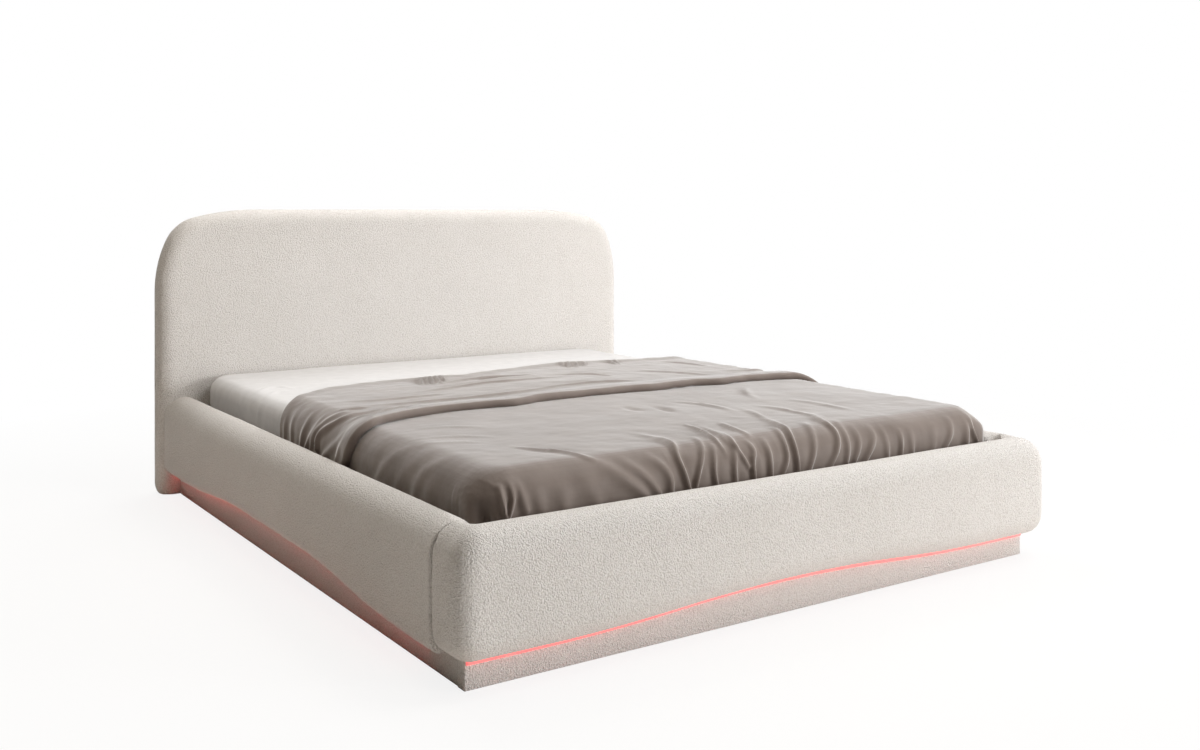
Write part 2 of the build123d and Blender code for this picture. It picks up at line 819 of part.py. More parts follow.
def turned_back(outset):
    """The head end of the coverlet folded back over it, ending in a soft roll."""
    reach = bed_length
    tucked = rail_inner_x - joint_gap
    flap = end_slab(outset, coverlet_flap_edge, coverlet_head_edge)
    flap &= block((-tucked, tucked), (-reach, reach), (0, reach))
    half = coverlet_roll_depth / 2
    roll = end_slab(outset + coverlet_roll_height, coverlet_flap_edge - half, coverlet_flap_edge + half)
    ends = roll.faces().filter_by(Axis.Y)
    roll = fillet([edge for face in ends for edge in face.edges()], coverlet_roll_round)
    return flap, roll - block((-reach, reach), (-reach, reach), (0, rail_top + soft_gap))


def bedding():
    """Mattress, fitted sheet and coverlet, each clear of the one below."""
    reach = bed_length
    side = (-reach, reach)
    sheet_in = soft_gap
    sheet_out = sheet_in + sheet_thickness
    cloth_in = sheet_out + soft_gap
    cloth_out = cloth_in + coverlet_thickness
    below = block(side, side, (-reach, mattress_bottom + sheet_hem))
    sheet = layer(sheet_out) - below - layer(sheet_in)
    below = block(side, side, (-reach, mattress_bottom + coverlet_hem))
    beyond = block(side, (coverlet_head_edge, reach), (0, reach))
    coverlet = draped(cloth_out + side_fold_depth, folded_plan(cloth_out)) - beyond
    flap, roll = turned_back(cloth_out + side_fold_depth + coverlet_thickness)
    coverlet = coverlet + flap + roll - below - layer(cloth_in)
    return layer(0), sheet, coverlet


def save(name, shape):
    """Write one node, under its own name, as a STEP file."""
    solids = shape.solids()
    piece = solids[0] if len(solids) == 1 else Compound(solids)
    piece.label = name
    export_step(piece, f"parts/{name}.step")


def main():
    os.makedirs("parts", exist_ok=True)
    pieces = {}
    wall = cover_thickness
    soft = cover_thickness + soft_gap
    holes = bolt_holes()

    core, core_envelope = headboard_core()
    back_opening = back_window(0, cover_thickness + overrun)
    pieces["headboard_core"] = core - holes
    pieces["headboard_foam"] = headboard_form(soft) - core_envelope
    cover = headboard_form(0) - headboard_form(wall) - headboard_window()
    pieces["headboard_cover"] = cover - back_opening
    pieces["headboard_back_panel"] = back_window(joint_gap, cover_thickness)

    pieces["footboard_core"] = footboard_core() - holes
    pieces["footboard_foam"] = footboard_form(soft) - footboard_board(0)
    pieces["footboard_cover"] = footboard_form(0) - footboard_form(wall) - footboard_window()

    rail_parts = {
        "rail_core": rail_core() - holes,
        "rail_foam": rail_form(soft) - rail_board(0, overrun),
        "rail_cover": rail_form(0) - rail_form(wall) - rail_window(),
        "slat_ledge": ledge(),
        "light_strip": light_side(),
    }
    board, cloth = plinth_side_pieces()
    rail_parts["plinth_board"] = board
    rail_parts["plinth_cover"] = cloth
    foot_bracket, head_bracket = bracket_sides()
    rail_parts["foot_bracket"] = foot_bracket - holes
    rail_parts["head_bracket"] = head_bracket - holes
    outer_cap = (core_inner_x - cap_length, core_inner_x)
    rail_parts["slat_caps"] = Compound([cap(outer_cap, y, True, False).solid() for y in slat_places()])
    for name, shape in rail_parts.items():
        for side, piece in both_sides(shape).items():
            pieces[f"{side}_{name}"] = piece

    board = plinth_front_board()
    pieces["plinth_front_board"] = board
    pieces["plinth_front_cover"] = plinth_front_cover(board)
    pieces["plinth_rear_board"] = plinth_rear_board()
    pieces["light_strip_front"] = light_front()
    pieces["light_driver"] = light_driver()

    pieces["centre_beam"] = centre_beam()
    front_stirrup = stirrup(well_front_y - cover_thickness, 1)
    back_stirrup = stirrup(well_back_y + cover_thickness, -1)
    pieces["beam_stirrups"] = Compound([front_stirrup.solid(), back_stirrup.solid()])
    middle_cap = (-beam_width / 2, beam_width / 2)
    pieces["slat_caps_middle"] = Compound([cap(middle_cap, y, True, True).solid() for y in slat_places()])
    for number, y in enumerate(slat_places(), 1):
        pieces[f"slats_row_{number:02d}"] = slat_row(y)
    for number in range(1, leg_count + 1):
        y = (number - (leg_count + 1) / 2) * leg_pitch
        pieces[f"centre_leg_{number}"] = centre_leg(y)
        pieces[f"screw_foot_{number}"] = screw_foot(y)
    pieces["frame_bolts"] = bolts()

    mattress, sheet, coverlet = bedding()
    pieces["mattress"] = mattress
    pieces["fitted_sheet"] = sheet
    pieces["coverlet"] = coverlet

    for name, shape in pieces.items():
        save(name, shape)
    print(len(pieces), "nodes written")


main()
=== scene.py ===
# %% [markdown]
# # An upholstered bed
# The bed stands on the floor with its foot towards us. Every piece is built in metres around the
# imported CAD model, which gives the places: nothing has to be fitted by eye afterwards.

# %% Load the frame
import json
import math

import bmesh
import bpy
import numpy as np
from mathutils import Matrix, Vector, noise


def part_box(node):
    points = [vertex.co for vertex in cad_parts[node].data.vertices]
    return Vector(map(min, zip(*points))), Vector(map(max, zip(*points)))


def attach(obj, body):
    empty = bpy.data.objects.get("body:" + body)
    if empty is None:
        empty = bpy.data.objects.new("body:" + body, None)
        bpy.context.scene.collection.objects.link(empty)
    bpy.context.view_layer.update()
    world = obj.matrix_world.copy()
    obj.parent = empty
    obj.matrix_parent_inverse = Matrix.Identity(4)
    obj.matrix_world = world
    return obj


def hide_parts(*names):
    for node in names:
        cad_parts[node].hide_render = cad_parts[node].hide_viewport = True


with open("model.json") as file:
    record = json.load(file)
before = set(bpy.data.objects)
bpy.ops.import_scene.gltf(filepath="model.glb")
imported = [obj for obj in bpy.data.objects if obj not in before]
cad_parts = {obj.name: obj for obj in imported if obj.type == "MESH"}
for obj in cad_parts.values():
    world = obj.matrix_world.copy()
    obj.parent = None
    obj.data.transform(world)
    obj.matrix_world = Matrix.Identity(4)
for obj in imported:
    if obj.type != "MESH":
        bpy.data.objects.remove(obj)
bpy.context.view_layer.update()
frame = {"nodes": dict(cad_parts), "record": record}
nodes = frame["nodes"]

# %% [markdown]
# The photograph was taken by a level camera whose picture was shifted down, which keeps the
# headboard's sides upright. The same is done here with the camera's own shift.

# %% Camera
camera_place = (-2.0202, -3.2255, 0.961)
camera_turn = -34.14
bpy.ops.object.camera_add(location=camera_place, rotation=(math.radians(90), 0, math.radians(camera_turn)))
camera = bpy.context.object
camera.data.lens = 36.41
camera.data.sensor_width = 36
camera.data.shift_y = -0.135
bpy.context.scene.camera = camera
bpy.context.scene.view_settings.view_transform = "Standard"
print("camera at", tuple(round(v, 3) for v in camera.location))

# %% [markdown]
# Small helpers come first. Operators act on whatever is selected, so each piece starts with
# nothing selected and ends as an object at the origin with its place in its mesh.


# %% Helpers for selecting and naming
def clear_selection():
    bpy.ops.object.select_all(action="DESELECT")


def start_cube(name, low, high):
    """A cube that fills a box, ready to be shaped."""
    clear_selection()
    centre = [(a + b) / 2 for a, b in zip(low, high)]
    bpy.ops.mesh.primitive_cube_add(size=1, location=centre)
    obj = bpy.context.object
    obj.name = obj.data.name = name
    obj.scale = [b - a for a, b in zip(low, high)]
    bpy.ops.object.transform_apply(location=True, rotation=True, scale=True)
    return obj


def only(obj):
    """Select one object alone and make it the active one."""
    clear_selection()
    obj.select_set(True)
    bpy.context.view_layer.objects.active = obj


def start_edit(obj, kind="VERT", action="SELECT"):
    """Open one object in edit mode, with all of it selected or nothing."""
    only(obj)
    bpy.ops.object.mode_set(mode="EDIT")
    bpy.ops.mesh.select_mode(type=kind)
    bpy.ops.mesh.select_all(action=action)


def end_edit():
    bpy.ops.object.mode_set(mode="OBJECT")


def pick(obj, kind, test):
    """Open one object in edit mode and select the edges or the faces that pass a test."""
    start_edit(obj, kind, "DESELECT")
    mesh = bmesh.from_edit_mesh(obj.data)
    for piece in mesh.edges if kind == "EDGE" else mesh.faces:
        piece.select = test(piece)
    bmesh.update_edit_mesh(obj.data)


def round_edges(obj, test, radius, segments):
    """Round the edges whose two ends pass a test."""
    pick(obj, "EDGE", lambda edge: test(edge.verts[0].co, edge.verts[1].co))
    bpy.ops.mesh.bevel(offset=radius, segments=segments, affect="EDGES", clamp_overlap=False)
    end_edit()


def both(a, b, axis, place, within=1e-4):
    """True where both ends of an edge lie at one place along an axis."""
    return abs(a[axis] - place) < within and abs(b[axis] - place) < within


def rim(axis, place):
    """A test for the edges that lie at one place along an axis."""
    return lambda a, b: both(a, b, axis, place)


def apply_modifier(obj, kind, **settings):
    only(obj)
    modifier = obj.modifiers.new(kind.title(), kind)
    for key, value in settings.items():
        setattr(modifier, key, value)
    bpy.ops.object.modifier_apply(modifier=modifier.name)


smooth_below = math.radians(40)


def shade_by_angle(obj):
    only(obj)
    bpy.ops.object.shade_smooth_by_angle(angle=smooth_below)


print("helpers ready")

# %% Helpers for soft shapes
seed_steps = (7.31, 3.17, 5.93)


def even_mesh(obj, size):
    """Even out a closed shape into small quads that can be bent and folded."""
    only(obj)
    obj.data.remesh_voxel_size = size
    obj.data.remesh_voxel_adaptivity = 0
    bpy.ops.object.voxel_remesh()
    bpy.ops.object.shade_smooth()


def read_points(obj, kind="co"):
    """The places of a mesh's points, or with "normal" the ways they face, as rows of three."""
    values = np.zeros(len(obj.data.vertices) * 3)
    obj.data.vertices.foreach_get(kind, values)
    return values.reshape(-1, 3)


def write_points(obj, points):
    obj.data.vertices.foreach_set("co", points.ravel())
    obj.data.update()


def smooth_step(start, end, value):
    """0 before start, 1 after end, and an easy curve between."""
    share = np.clip((value - start) / (end - start), 0, 1)
    return share * share * (3 - 2 * share)


def rough(points, wave, seed, height=1.0, stretch=(1, 1, 1), octaves=2):
    """Smooth random heights, the same each run; wave is the length of one wave in metres."""
    shift = Vector([seed * step for step in seed_steps])
    return height * np.array([
        noise.fractal(Vector(p) / wave + shift, 1.0, 2.0, octaves, noise_basis="PERLIN_NEW")
        for p in points * stretch
    ])


print("soft helpers ready")

# %% [markdown]
# ## The padded frame
# Each padded board is a block of foam with rounded edges, covered in one taut piece of boucle.
# A cube is rounded edge by edge with bevels, evened out into small quads, bent to the arch under
# it, and then swollen a little, because foam under cloth is never quite flat.

# %% Sizes of the padded frame
foot_low, foot_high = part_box("footboard_cover")
rail_low, rail_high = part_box("right_rail_cover")
head_low, head_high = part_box("headboard_cover")
frame_top = foot_high.z
end_underside = foot_low.z
footboard_arch_rise = 0.024
footboard_arch_half_span = 0.70
rail_arch_rise = 0.039
rail_head_rise = 0.010
rail_arch_half_span = 0.88
rail_arch_half_crest = 0.20
footboard_top_corner = 0.068
footboard_low_corner = 0.054
footboard_front_round = 0.050
footboard_back_round = 0.006
footboard_bulge = 0.006
footboard_end = (0.75, 0.92)
inner_round = 0.058
rail_outer_top = 0.066
rail_inner_top = 0.043
rail_outer_bottom = 0.030
rail_inner_bottom = 0.010
headboard_edge_round = 0.048
arch_lift = (0.08, 0.19)
frame_voxel = 0.009
print("frame top", round(frame_top, 3), "underside", round(end_underside, 3))


# %% The arches and the swell
def arch_share(along, start, end):
    """0 at start, 1 at end, on two arcs that leave and arrive level."""
    share = np.clip((along - start) / (end - start), 0, 1)
    return np.where(share < 0.5, 2 * share**2, 1 - 2 * (1 - share) ** 2)


def footboard_rise(across):
    """How far the underside of the footboard is above its ends."""
    return footboard_arch_rise * arch_share(-np.abs(across), -footboard_arch_half_span, 0)


def rail_rise(along):
    """How far the underside of a rail is above its foot end."""
    up = arch_share(along, -rail_arch_half_span, -rail_arch_half_crest)
    down = arch_share(along, rail_arch_half_crest, rail_arch_half_span)
    return rail_arch_rise * up - (rail_arch_rise - rail_head_rise) * down


def lift_underside(points, rise):
    """Raise what is near the bottom of a board by rise, and leave its upper half."""
    start, end = arch_lift
    points[:, 2] += rise * (1 - smooth_step(end_underside + start, end_underside + end, points[:, 2]))


broad_wave, broad_share = 0.34, 0.6
small_wave, small_share = 0.09, 0.25


def swell(obj, amount, seed):
    """Stand the surface out a little, unevenly, as foam does under cloth."""
    points = read_points(obj)
    broad = broad_share * rough(points, broad_wave, seed)
    uneven = broad + small_share * rough(points, small_wave, seed + 1)
    points += read_points(obj, "normal") * (amount * uneven)[:, None]
    write_points(obj, points)


print("arch and swell ready")

# %% [markdown]
# Rail and footboard meet in a seam near each foot corner. Both get the same roll there, so that
# only a thin slot shows down the side, and their ends roll over softly towards the well.

# %% The corner seam
seam_gap = 0.0005
seam_slot = 0.0020
slot_x = (0.895, 0.925)
end_face = (0.002, 0.006)
roll_x = (0.835, 0.872)
seam_x = (0.845, 0.870)
seam_close, seam_beside = 0.004, 0.009
top_lean = (0.75, 1.0)
side_lean = (1.3, 1.5)
roll_depth = 0.010
almost = 0.999
footboard_fade, rail_fade = 0.050, 0.020


def round_inner_end(points, end_y, way):
    """Roll a padded end over towards the well; way is 1 if the piece lies on the foot side of end_y."""
    across = way * (points[:, 1] - end_y) + inner_round
    above = points[:, 2] - (frame_top - inner_round)
    reach = np.hypot(across, above)
    inside = 1 - smooth_step(*roll_x, np.abs(points[:, 0]))
    sharp = (across > 0) & (above > 0) & (reach > inner_round)
    pull = np.where(sharp, (inner_round / np.maximum(reach, 1e-9) - 1) * inside, 0)
    points[:, 1] += way * across * pull
    points[:, 2] += above * pull


def share_roll(points, seam_y, fade):
    """Give what lies near the seam the rail's roll, so that no groove or step shows on top."""
    radius = rail_outer_top
    away = np.abs(points[:, 1] - seam_y)
    across = np.abs(points[:, 0]) - (rail_high.x - radius)
    above = points[:, 2] - (frame_top - radius)
    reach = np.hypot(np.clip(across, 0, None), np.clip(above, 0, None))
    lean = np.arctan2(np.clip(across, 0, None), np.clip(above, 1e-6, None))
    on_top = 1 - smooth_step(*top_lean, lean)
    beside = smooth_step(seam_close, seam_beside, away) * (1 - smooth_step(*side_lean, lean))
    near = 1 - smooth_step(seam_close, fade, away)
    weight = near * np.maximum(on_top, beside) * smooth_step(*seam_x, np.abs(points[:, 0]))
    weight *= (above > 0) & (reach > radius - roll_depth)
    grow = np.where(weight > 0, (radius / np.maximum(reach, 1e-9) - 1) * weight, 0)
    points[:, 0] += np.sign(points[:, 0]) * np.clip(across, 0, None) * grow
    points[:, 2] += above * grow


print("seam ready")

# %% Footboard
footboard = start_cube(
    "footboard",
    (foot_low.x + footboard_bulge, foot_low.y, foot_low.z),
    (foot_high.x - footboard_bulge, foot_high.y, foot_high.z),
)
long_edge = 0.05
for height, corner, segments in (
    (foot_high.z, footboard_top_corner, 12),
    (foot_low.z, footboard_low_corner, 10),
):
    round_edges(
        footboard, lambda a, b: abs(a.y - b.y) > long_edge and both(a, b, 2, height), corner, segments)
round_edges(footboard, rim(1, foot_low.y), footboard_front_round, segments=8)
round_edges(footboard, rim(1, foot_high.y), footboard_back_round, segments=4)
even_mesh(footboard, frame_voxel)

points = read_points(footboard)
lift_underside(points, footboard_rise(points[:, 0]))
middle_z = (foot_low.z + foot_high.z) / 2
half_height = (foot_high.z - foot_low.z) / 2
end_weight = smooth_step(*footboard_end, np.abs(points[:, 0]))
bulge = footboard_bulge * (1 - ((points[:, 2] - middle_z) / half_height) ** 2) * end_weight
points[:, 0] += np.sign(points[:, 0]) * bulge
round_inner_end(points, foot_high.y, 1)
write_points(footboard, points)
frame_swell = 0.0014
swell(footboard, frame_swell, seed=3)
points = read_points(footboard)
share_roll(points, foot_high.y, footboard_fade)
write_points(footboard, points)
print("footboard", len(footboard.data.polygons), "faces")

# %% [markdown]
# The rails run from the footboard to the headboard. On the real bed each is a board wrapped in foam,
# with a thick roll outside on top and a thinner one inside. A profile swept along the arch could make
# them too. A rounded cube was chosen, because the same helpers then shape every padded piece, and its
# ends can be fitted to the footboard's roll and to the round edge of the headboard.


# %% Side rails
def make_rail(name, side, seed):
    """A rail on the right (side 1) or the left (side -1)."""
    inner, outer = rail_low.x, rail_high.x
    end_y = head_low.y + headboard_edge_round / 2
    low = (min(side * inner, side * outer), foot_high.y + seam_gap, end_underside)
    high = (max(side * inner, side * outer), end_y, frame_top)
    rail = start_cube(name, low, high)
    for x, z, radius, segments in (
        (outer, frame_top, rail_outer_top, 10),
        (inner, frame_top, rail_inner_top, 8),
        (outer, end_underside, rail_outer_bottom, 6),
        (inner, end_underside, rail_inner_bottom, 4),
    ):
        round_edges(rail, lambda a, b: both(a, b, 0, side * x) and both(a, b, 2, z), radius, segments)
    even_mesh(rail, frame_voxel)
    points = read_points(rail)
    lift_underside(points, rail_rise(points[:, 1]))
    round_inner_end(points, low[1], -1)
    at_end = 1 - smooth_step(*end_face, points[:, 1] - low[1])
    points[:, 1] += seam_slot * at_end * smooth_step(*slot_x, np.abs(points[:, 0]))
    write_points(rail, points)
    swell(rail, frame_swell, seed)
    points = read_points(rail)
    curve_start = head_high.x - headboard_edge_round
    past = np.clip(np.abs(points[:, 0]) - curve_start, 0, headboard_edge_round * almost)
    give = headboard_edge_round - np.sqrt(headboard_edge_round**2 - past**2)
    points[:, 1] = np.minimum(points[:, 1], head_low.y - seam_gap + give)
    share_roll(points, low[1], rail_fade)
    write_points(rail, points)
    return rail


right_rail = make_rail("right_rail", 1, seed=11)
left_rail = make_rail("left_rail", -1, seed=23)
print("rails", len(right_rail.data.polygons), len(left_rail.data.polygons), "faces")

# %% [markdown]
# The headboard's outline is drawn the way a pattern maker draws it: one straight line, then arcs
# that meet without a kink. Each arc is a spin of the last point about the arc's centre. Half is
# drawn, and a Mirror modifier makes the other half.

# %% Headboard outline
crown_radius, crown_turn = 0.90, math.radians(14)
shoulder_radius, shoulder_turn = 0.14, math.radians(52)
flank_radius = 0.43
head_foot_round, head_foot_drop = 0.055, 0.020
least_round = 0.001
head_half_width = head_high.x
second_turn = crown_turn + shoulder_turn


def way_out(turn):
    """The way from an arc's centre to its point at some turn from upright."""
    return Vector((math.sin(turn), 0, math.cos(turn)))


crown_to_shoulder = way_out(crown_turn) * (crown_radius - shoulder_radius)
shoulder_to_flank = way_out(second_turn) * (shoulder_radius - flank_radius)
half_flat = head_half_width - flank_radius - shoulder_to_flank.x - crown_to_shoulder.x
crown_centre = Vector((half_flat, 0, head_high.z - crown_radius))
shoulder_centre = crown_centre + crown_to_shoulder
flank_centre = shoulder_centre + shoulder_to_flank


def draw_half_headboard(name, inset):
    """Half of the headboard's front view as a line of edges, drawn in by inset."""
    clear_selection()
    bpy.ops.mesh.primitive_plane_add(size=1, location=(0, 0, 0))
    obj = bpy.context.object
    obj.name = obj.data.name = name
    start_edit(obj)
    bpy.ops.mesh.merge(type="CENTER")
    bpy.ops.mesh.select_all(action="SELECT")
    bpy.ops.transform.translate(value=(0, 0, head_high.z - inset))

    def line_by(x, z):
        bpy.ops.mesh.extrude_vertices_move(TRANSFORM_OT_translate={"value": (x, 0, z)})

    def arc(centre, angle, steps):
        bpy.ops.mesh.spin(steps=steps, angle=-angle, center=centre, axis=(0, 1, 0))

    line_by(half_flat, 0)
    arc(crown_centre, crown_turn, steps=5)
    arc(shoulder_centre, shoulder_turn, steps=12)
    arc(flank_centre, math.pi / 2 - second_turn, steps=7)
    foot = max(head_foot_round - inset, least_round)
    low = inset - head_foot_drop
    line_by(0, low + foot - flank_centre.z)
    arc(Vector((head_half_width - inset - foot, 0, low + foot)), math.pi / 2, steps=6)
    line_by(-(head_half_width - inset - foot), 0)
    end_edit()
    return obj


headboard = draw_half_headboard("headboard", 0)
print("outline points", len(headboard.data.vertices))


# %% Headboard body
def thicken_outline(obj, front, back):
    """Mirror a half outline, fill it and draw it out from front to back."""
    apply_modifier(obj, "MIRROR", use_axis=(True, False, False), merge_threshold=1e-4)
    start_edit(obj)
    bpy.ops.mesh.remove_doubles(threshold=1e-5)
    bpy.ops.mesh.edge_face_add()
    bpy.ops.transform.translate(value=(0, front, 0))
    bpy.ops.mesh.extrude_region_move(TRANSFORM_OT_translate={"value": (0, back - front, 0)})
    bpy.ops.mesh.select_all(action="SELECT")
    bpy.ops.mesh.normals_make_consistent(inside=False)
    end_edit()


def cut_level(obj, height):
    """Cut a closed shape level and close the cut."""
    start_edit(obj)
    bpy.ops.mesh.bisect(plane_co=(0, 0, height), plane_no=(0, 0, 1), use_fill=True, clear_inner=True)
    end_edit()


headboard_swell = 0.0016
thicken_outline(headboard, head_low.y, head_high.y)
round_edges(headboard, rim(1, head_low.y), headboard_edge_round, segments=8)
round_edges(headboard, rim(1, head_high.y), headboard_edge_round, segments=8)
cut_level(headboard, head_low.z)
even_mesh(headboard, frame_voxel)
swell(headboard, headboard_swell, seed=31)
print("headboard", len(headboard.data.polygons), "faces")

# %% [markdown]
# The cover is closed at the back by a panel of plain dust cloth. It has the headboard's outline,
# drawn in all round, and a soft edge where it is turned under and stapled.

# %% Headboard back panel
back_inset = 0.060
panel_thickness = 0.0035
panel_edge_round = 0.0025
panel_front = head_high.y - 0.0005
panel_back = head_high.y - 0.0005 + panel_thickness
back_panel = draw_half_headboard("headboard_dust_panel", back_inset)
thicken_outline(back_panel, panel_front, panel_back)
cut_level(back_panel, back_inset)
round_edges(back_panel, rim(1, panel_back), panel_edge_round, segments=4)
shade_by_angle(back_panel)
print("back panel", len(back_panel.data.polygons), "faces")

# %% [markdown]
# The plinth is made of boards wrapped in the same boucle. Their upper edges follow the arches, so
# that the light's tube lies in an even gap.

# %% Plinth
under_gap = 0.0003
bend_steps = 60
plinth_edge_round = 0.003
plinth_top = end_underside - under_gap


def slice_along(obj, axis, start, end):
    """Cut a straight piece into slices along an axis, so that it can bend."""
    start_edit(obj)
    for step in range(1, bend_steps):
        place, normal = [0, 0, 0], [0, 0, 0]
        place[axis] = start + (end - start) * step / bend_steps
        normal[axis] = 1
        bpy.ops.mesh.select_all(action="SELECT")
        bpy.ops.mesh.bisect(plane_co=place, plane_no=normal)
    end_edit()


def ease_edges(obj, width):
    """Round the sharp edges a little and shade the rest smooth."""
    apply_modifier(obj, "BEVEL", width=width, segments=3, limit_method="ANGLE")
    shade_by_angle(obj)


def make_plinth_board(name, node, rise_of, axis):
    """A wrapped board whose top follows a rise along an axis."""
    low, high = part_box(node)
    board = start_cube(name, tuple(low), (high[0], high[1], plinth_top))
    slice_along(board, axis, low[axis], high[axis])
    points = read_points(board)
    upper = points[:, 2] > plinth_top - 1e-4
    points[upper, 2] += rise_of(points[upper, axis])
    write_points(board, points)
    ease_edges(board, plinth_edge_round)
    return board


plinth_front = make_plinth_board("plinth_front", "plinth_front_cover", footboard_rise, 0)
plinth_right = make_plinth_board("plinth_right", "right_plinth_cover", rail_rise, 1)
plinth_left = make_plinth_board("plinth_left", "left_plinth_cover", rail_rise, 1)
print("plinth boards", [len(o.data.polygons) for o in (plinth_front, plinth_right, plinth_left)])

# %% [markdown]
# The light is a soft tube under the frame. The front tube is the CAD's own. Those along the sides
# start behind the footboard, so that only the front one shows its line, as in the photograph.

# %% Light tubes along the sides
tube_height = 0.010
tube_edge_round = 0.0015
tube_start = foot_high.y + 0.11


def make_side_tube(name, node):
    """A soft light tube under the rail, from behind the footboard to the head, bent to its arch."""
    low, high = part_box(node)
    tube = start_cube(name, (low.x, tube_start, plinth_top - tube_height), (high.x, high.y, plinth_top))
    slice_along(tube, 1, tube_start, high.y)
    points = read_points(tube)
    points[:, 2] += rail_rise(points[:, 1])
    write_points(tube, points)
    ease_edges(tube, tube_edge_round)
    return tube


tube_right = make_side_tube("light_tube_right", "right_light_strip")
tube_left = make_side_tube("light_tube_left", "left_light_strip")
print("light tubes", len(tube_right.data.polygons), len(tube_left.data.polygons), "faces")

# %% [markdown]
# ## The bedding
# A mattress, a fitted sheet pulled over it, and a satin coverlet tucked in at the foot and sides
# and turned back over itself. Each is a slab first: a rounded cube, evened out into small quads.

# %% Mattress and fitted sheet
mat_low, mat_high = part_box("mattress")
mattress_corner = 0.080
mattress_edge = 0.042
mattress_crown = 0.003
mattress_rim = mat_high.z + 0.0065
mattress_middle_y = (mat_low.y + mat_high.y) / 2
mattress_voxel, sheet_voxel = 0.02, 0.012
ticking_inset, sheet_outset = 0.001, 0.0012
dome_from = 0.1
head_lift, head_lift_reach = 0.004, 0.16
head_squareness, corner_squareness = 6, 4


def fill_out(a, b, power):
    """How much further out a round edge goes when drawn squarer; a and b are the parts of its reach."""
    reach = np.maximum(np.hypot(a, b), 1e-9)
    a, b = np.clip(a, 0, None) / reach, np.clip(b, 0, None) / reach
    return np.where((a > 0) & (b > 0), np.maximum(a**power + b**power, 1e-9) ** (-1 / power), 1)


def mattress_shape(name, outset, top, crown, voxel, softer=0):
    """A closed, rounded slab round the mattress; its rim is at top and its middle a crown higher."""
    corner = mattress_corner + outset
    edge = mattress_edge + outset + softer
    low = (mat_low.x - outset, mat_low.y - outset, mat_low.z - outset)
    high = (mat_high.x + outset, mat_high.y + outset, top)
    slab = start_cube(name, low, high)
    round_edges(slab, lambda a, b: abs(a.z - b.z) > long_edge, corner, segments=8)
    round_edges(slab, rim(2, high[2]), edge, segments=8)
    round_edges(slab, rim(2, low[2]), mattress_edge + outset, segments=6)
    even_mesh(slab, voxel)
    points = read_points(slab)
    half_x = high[0]
    half_y = (high[1] - low[1]) / 2
    dome = (1 - (points[:, 0] / half_x) ** 2) * (1 - ((points[:, 1] - mattress_middle_y) / half_y) ** 2)
    upper = smooth_step(low[2] + dome_from, top, points[:, 2])
    points[:, 2] += crown * dome * upper
    behind = points[:, 1] - (high[1] - edge)
    above = points[:, 2] - (top - edge)
    squarer = fill_out(behind, above, head_squareness)
    points[:, 1] += behind * (squarer - 1)
    at_head = smooth_step(high[1] - head_lift_reach, high[1], points[:, 1])
    points[:, 2] += above * (squarer - 1) + head_lift * at_head * upper
    write_points(slab, points)
    return slab


mattress = mattress_shape(
    "mattress_body", -ticking_inset, mattress_rim - ticking_inset, mattress_crown, mattress_voxel)
sheet_top = mattress_rim + sheet_outset
sheet = mattress_shape("sheet_cotton_fitted", sheet_outset, sheet_top, mattress_crown, sheet_voxel)
print("mattress", len(mattress.data.polygons), "sheet", len(sheet.data.polygons))

# %% [markdown]
# Folds are drawn on the cloth as it would lie spread flat, the way a pattern is marked with chalk.
# Each fold is a row: its half width, its height, and then across and along for each place on its
# line, all in millimetres. The cloth rises along it and sinks a little on each side. A negative
# height is a valley.

# %% Folds drawn on the flat cloth
fold_spread = 1.15
fold_reach = 4
crest_share, trough_share, trough_spread = 1.25, 0.40, 2.3
hem_fade, end_fade, hem_widening = 1.6, 0.7, 0.8
least_share = 0.02
other_width, other_height = 1.1, 0.9


def spread_flat(points, outset, top, softer=0):
    """Where the points of a covering lie when it is spread flat on the mattress's top."""
    corner = mattress_corner + outset
    edge = mattress_edge + outset + softer
    flat_x = mat_high.x + outset - corner
    foot_y = mat_low.y - outset + corner
    head_y = mat_high.y + outset - corner
    inner = np.stack([np.clip(points[:, 0], -flat_x, flat_x), np.clip(points[:, 1], foot_y, head_y)], 1)
    away = points[:, :2] - inner
    reach = np.hypot(away[:, 0], away[:, 1])
    way = away / np.maximum(reach, 1e-9)[:, None]
    down = np.clip(top - points[:, 2], 0, None)
    turn = np.arctan2(np.clip(reach - (corner - edge), 0, None), np.clip(edge - down, 1e-6, None))
    along = np.minimum(reach, corner - edge) + edge * turn + np.clip(down - edge, 0, None)
    return inner + way * along[:, None]


def read_line(row):
    """A row of across and along in millimetres as places in metres."""
    return np.array(row).reshape(-1, 2) / 1000


def soften(line, rounds=2):
    """Cut the corners of a line of places, so that a fold bends smoothly."""
    for _ in range(rounds):
        middle = [line[0]]
        for a, b in zip(line[:-1], line[1:]):
            middle += [a * 0.75 + b * 0.25, a * 0.25 + b * 0.75]
        line = np.array(middle + [line[-1]])
    return line


def distance_along(places, line):
    """For each place, how far it is from a line and how far along it, from 0 to 1."""
    best = np.full(len(places), 1e9)
    share = np.zeros(len(places))
    lengths = np.hypot(*(line[1:] - line[:-1]).T)
    done = 0
    for a, b, length in zip(line[:-1], line[1:], lengths):
        t = np.clip(((places - a) @ (b - a)) / max(length**2, 1e-12), 0, 1)
        away = np.hypot(*(places - (a + t[:, None] * (b - a))).T)
        nearer = away < best
        best[nearer] = away[nearer]
        share[nearer] = (done + t[nearer] * length) / lengths.sum()
        done += length
    return best, share


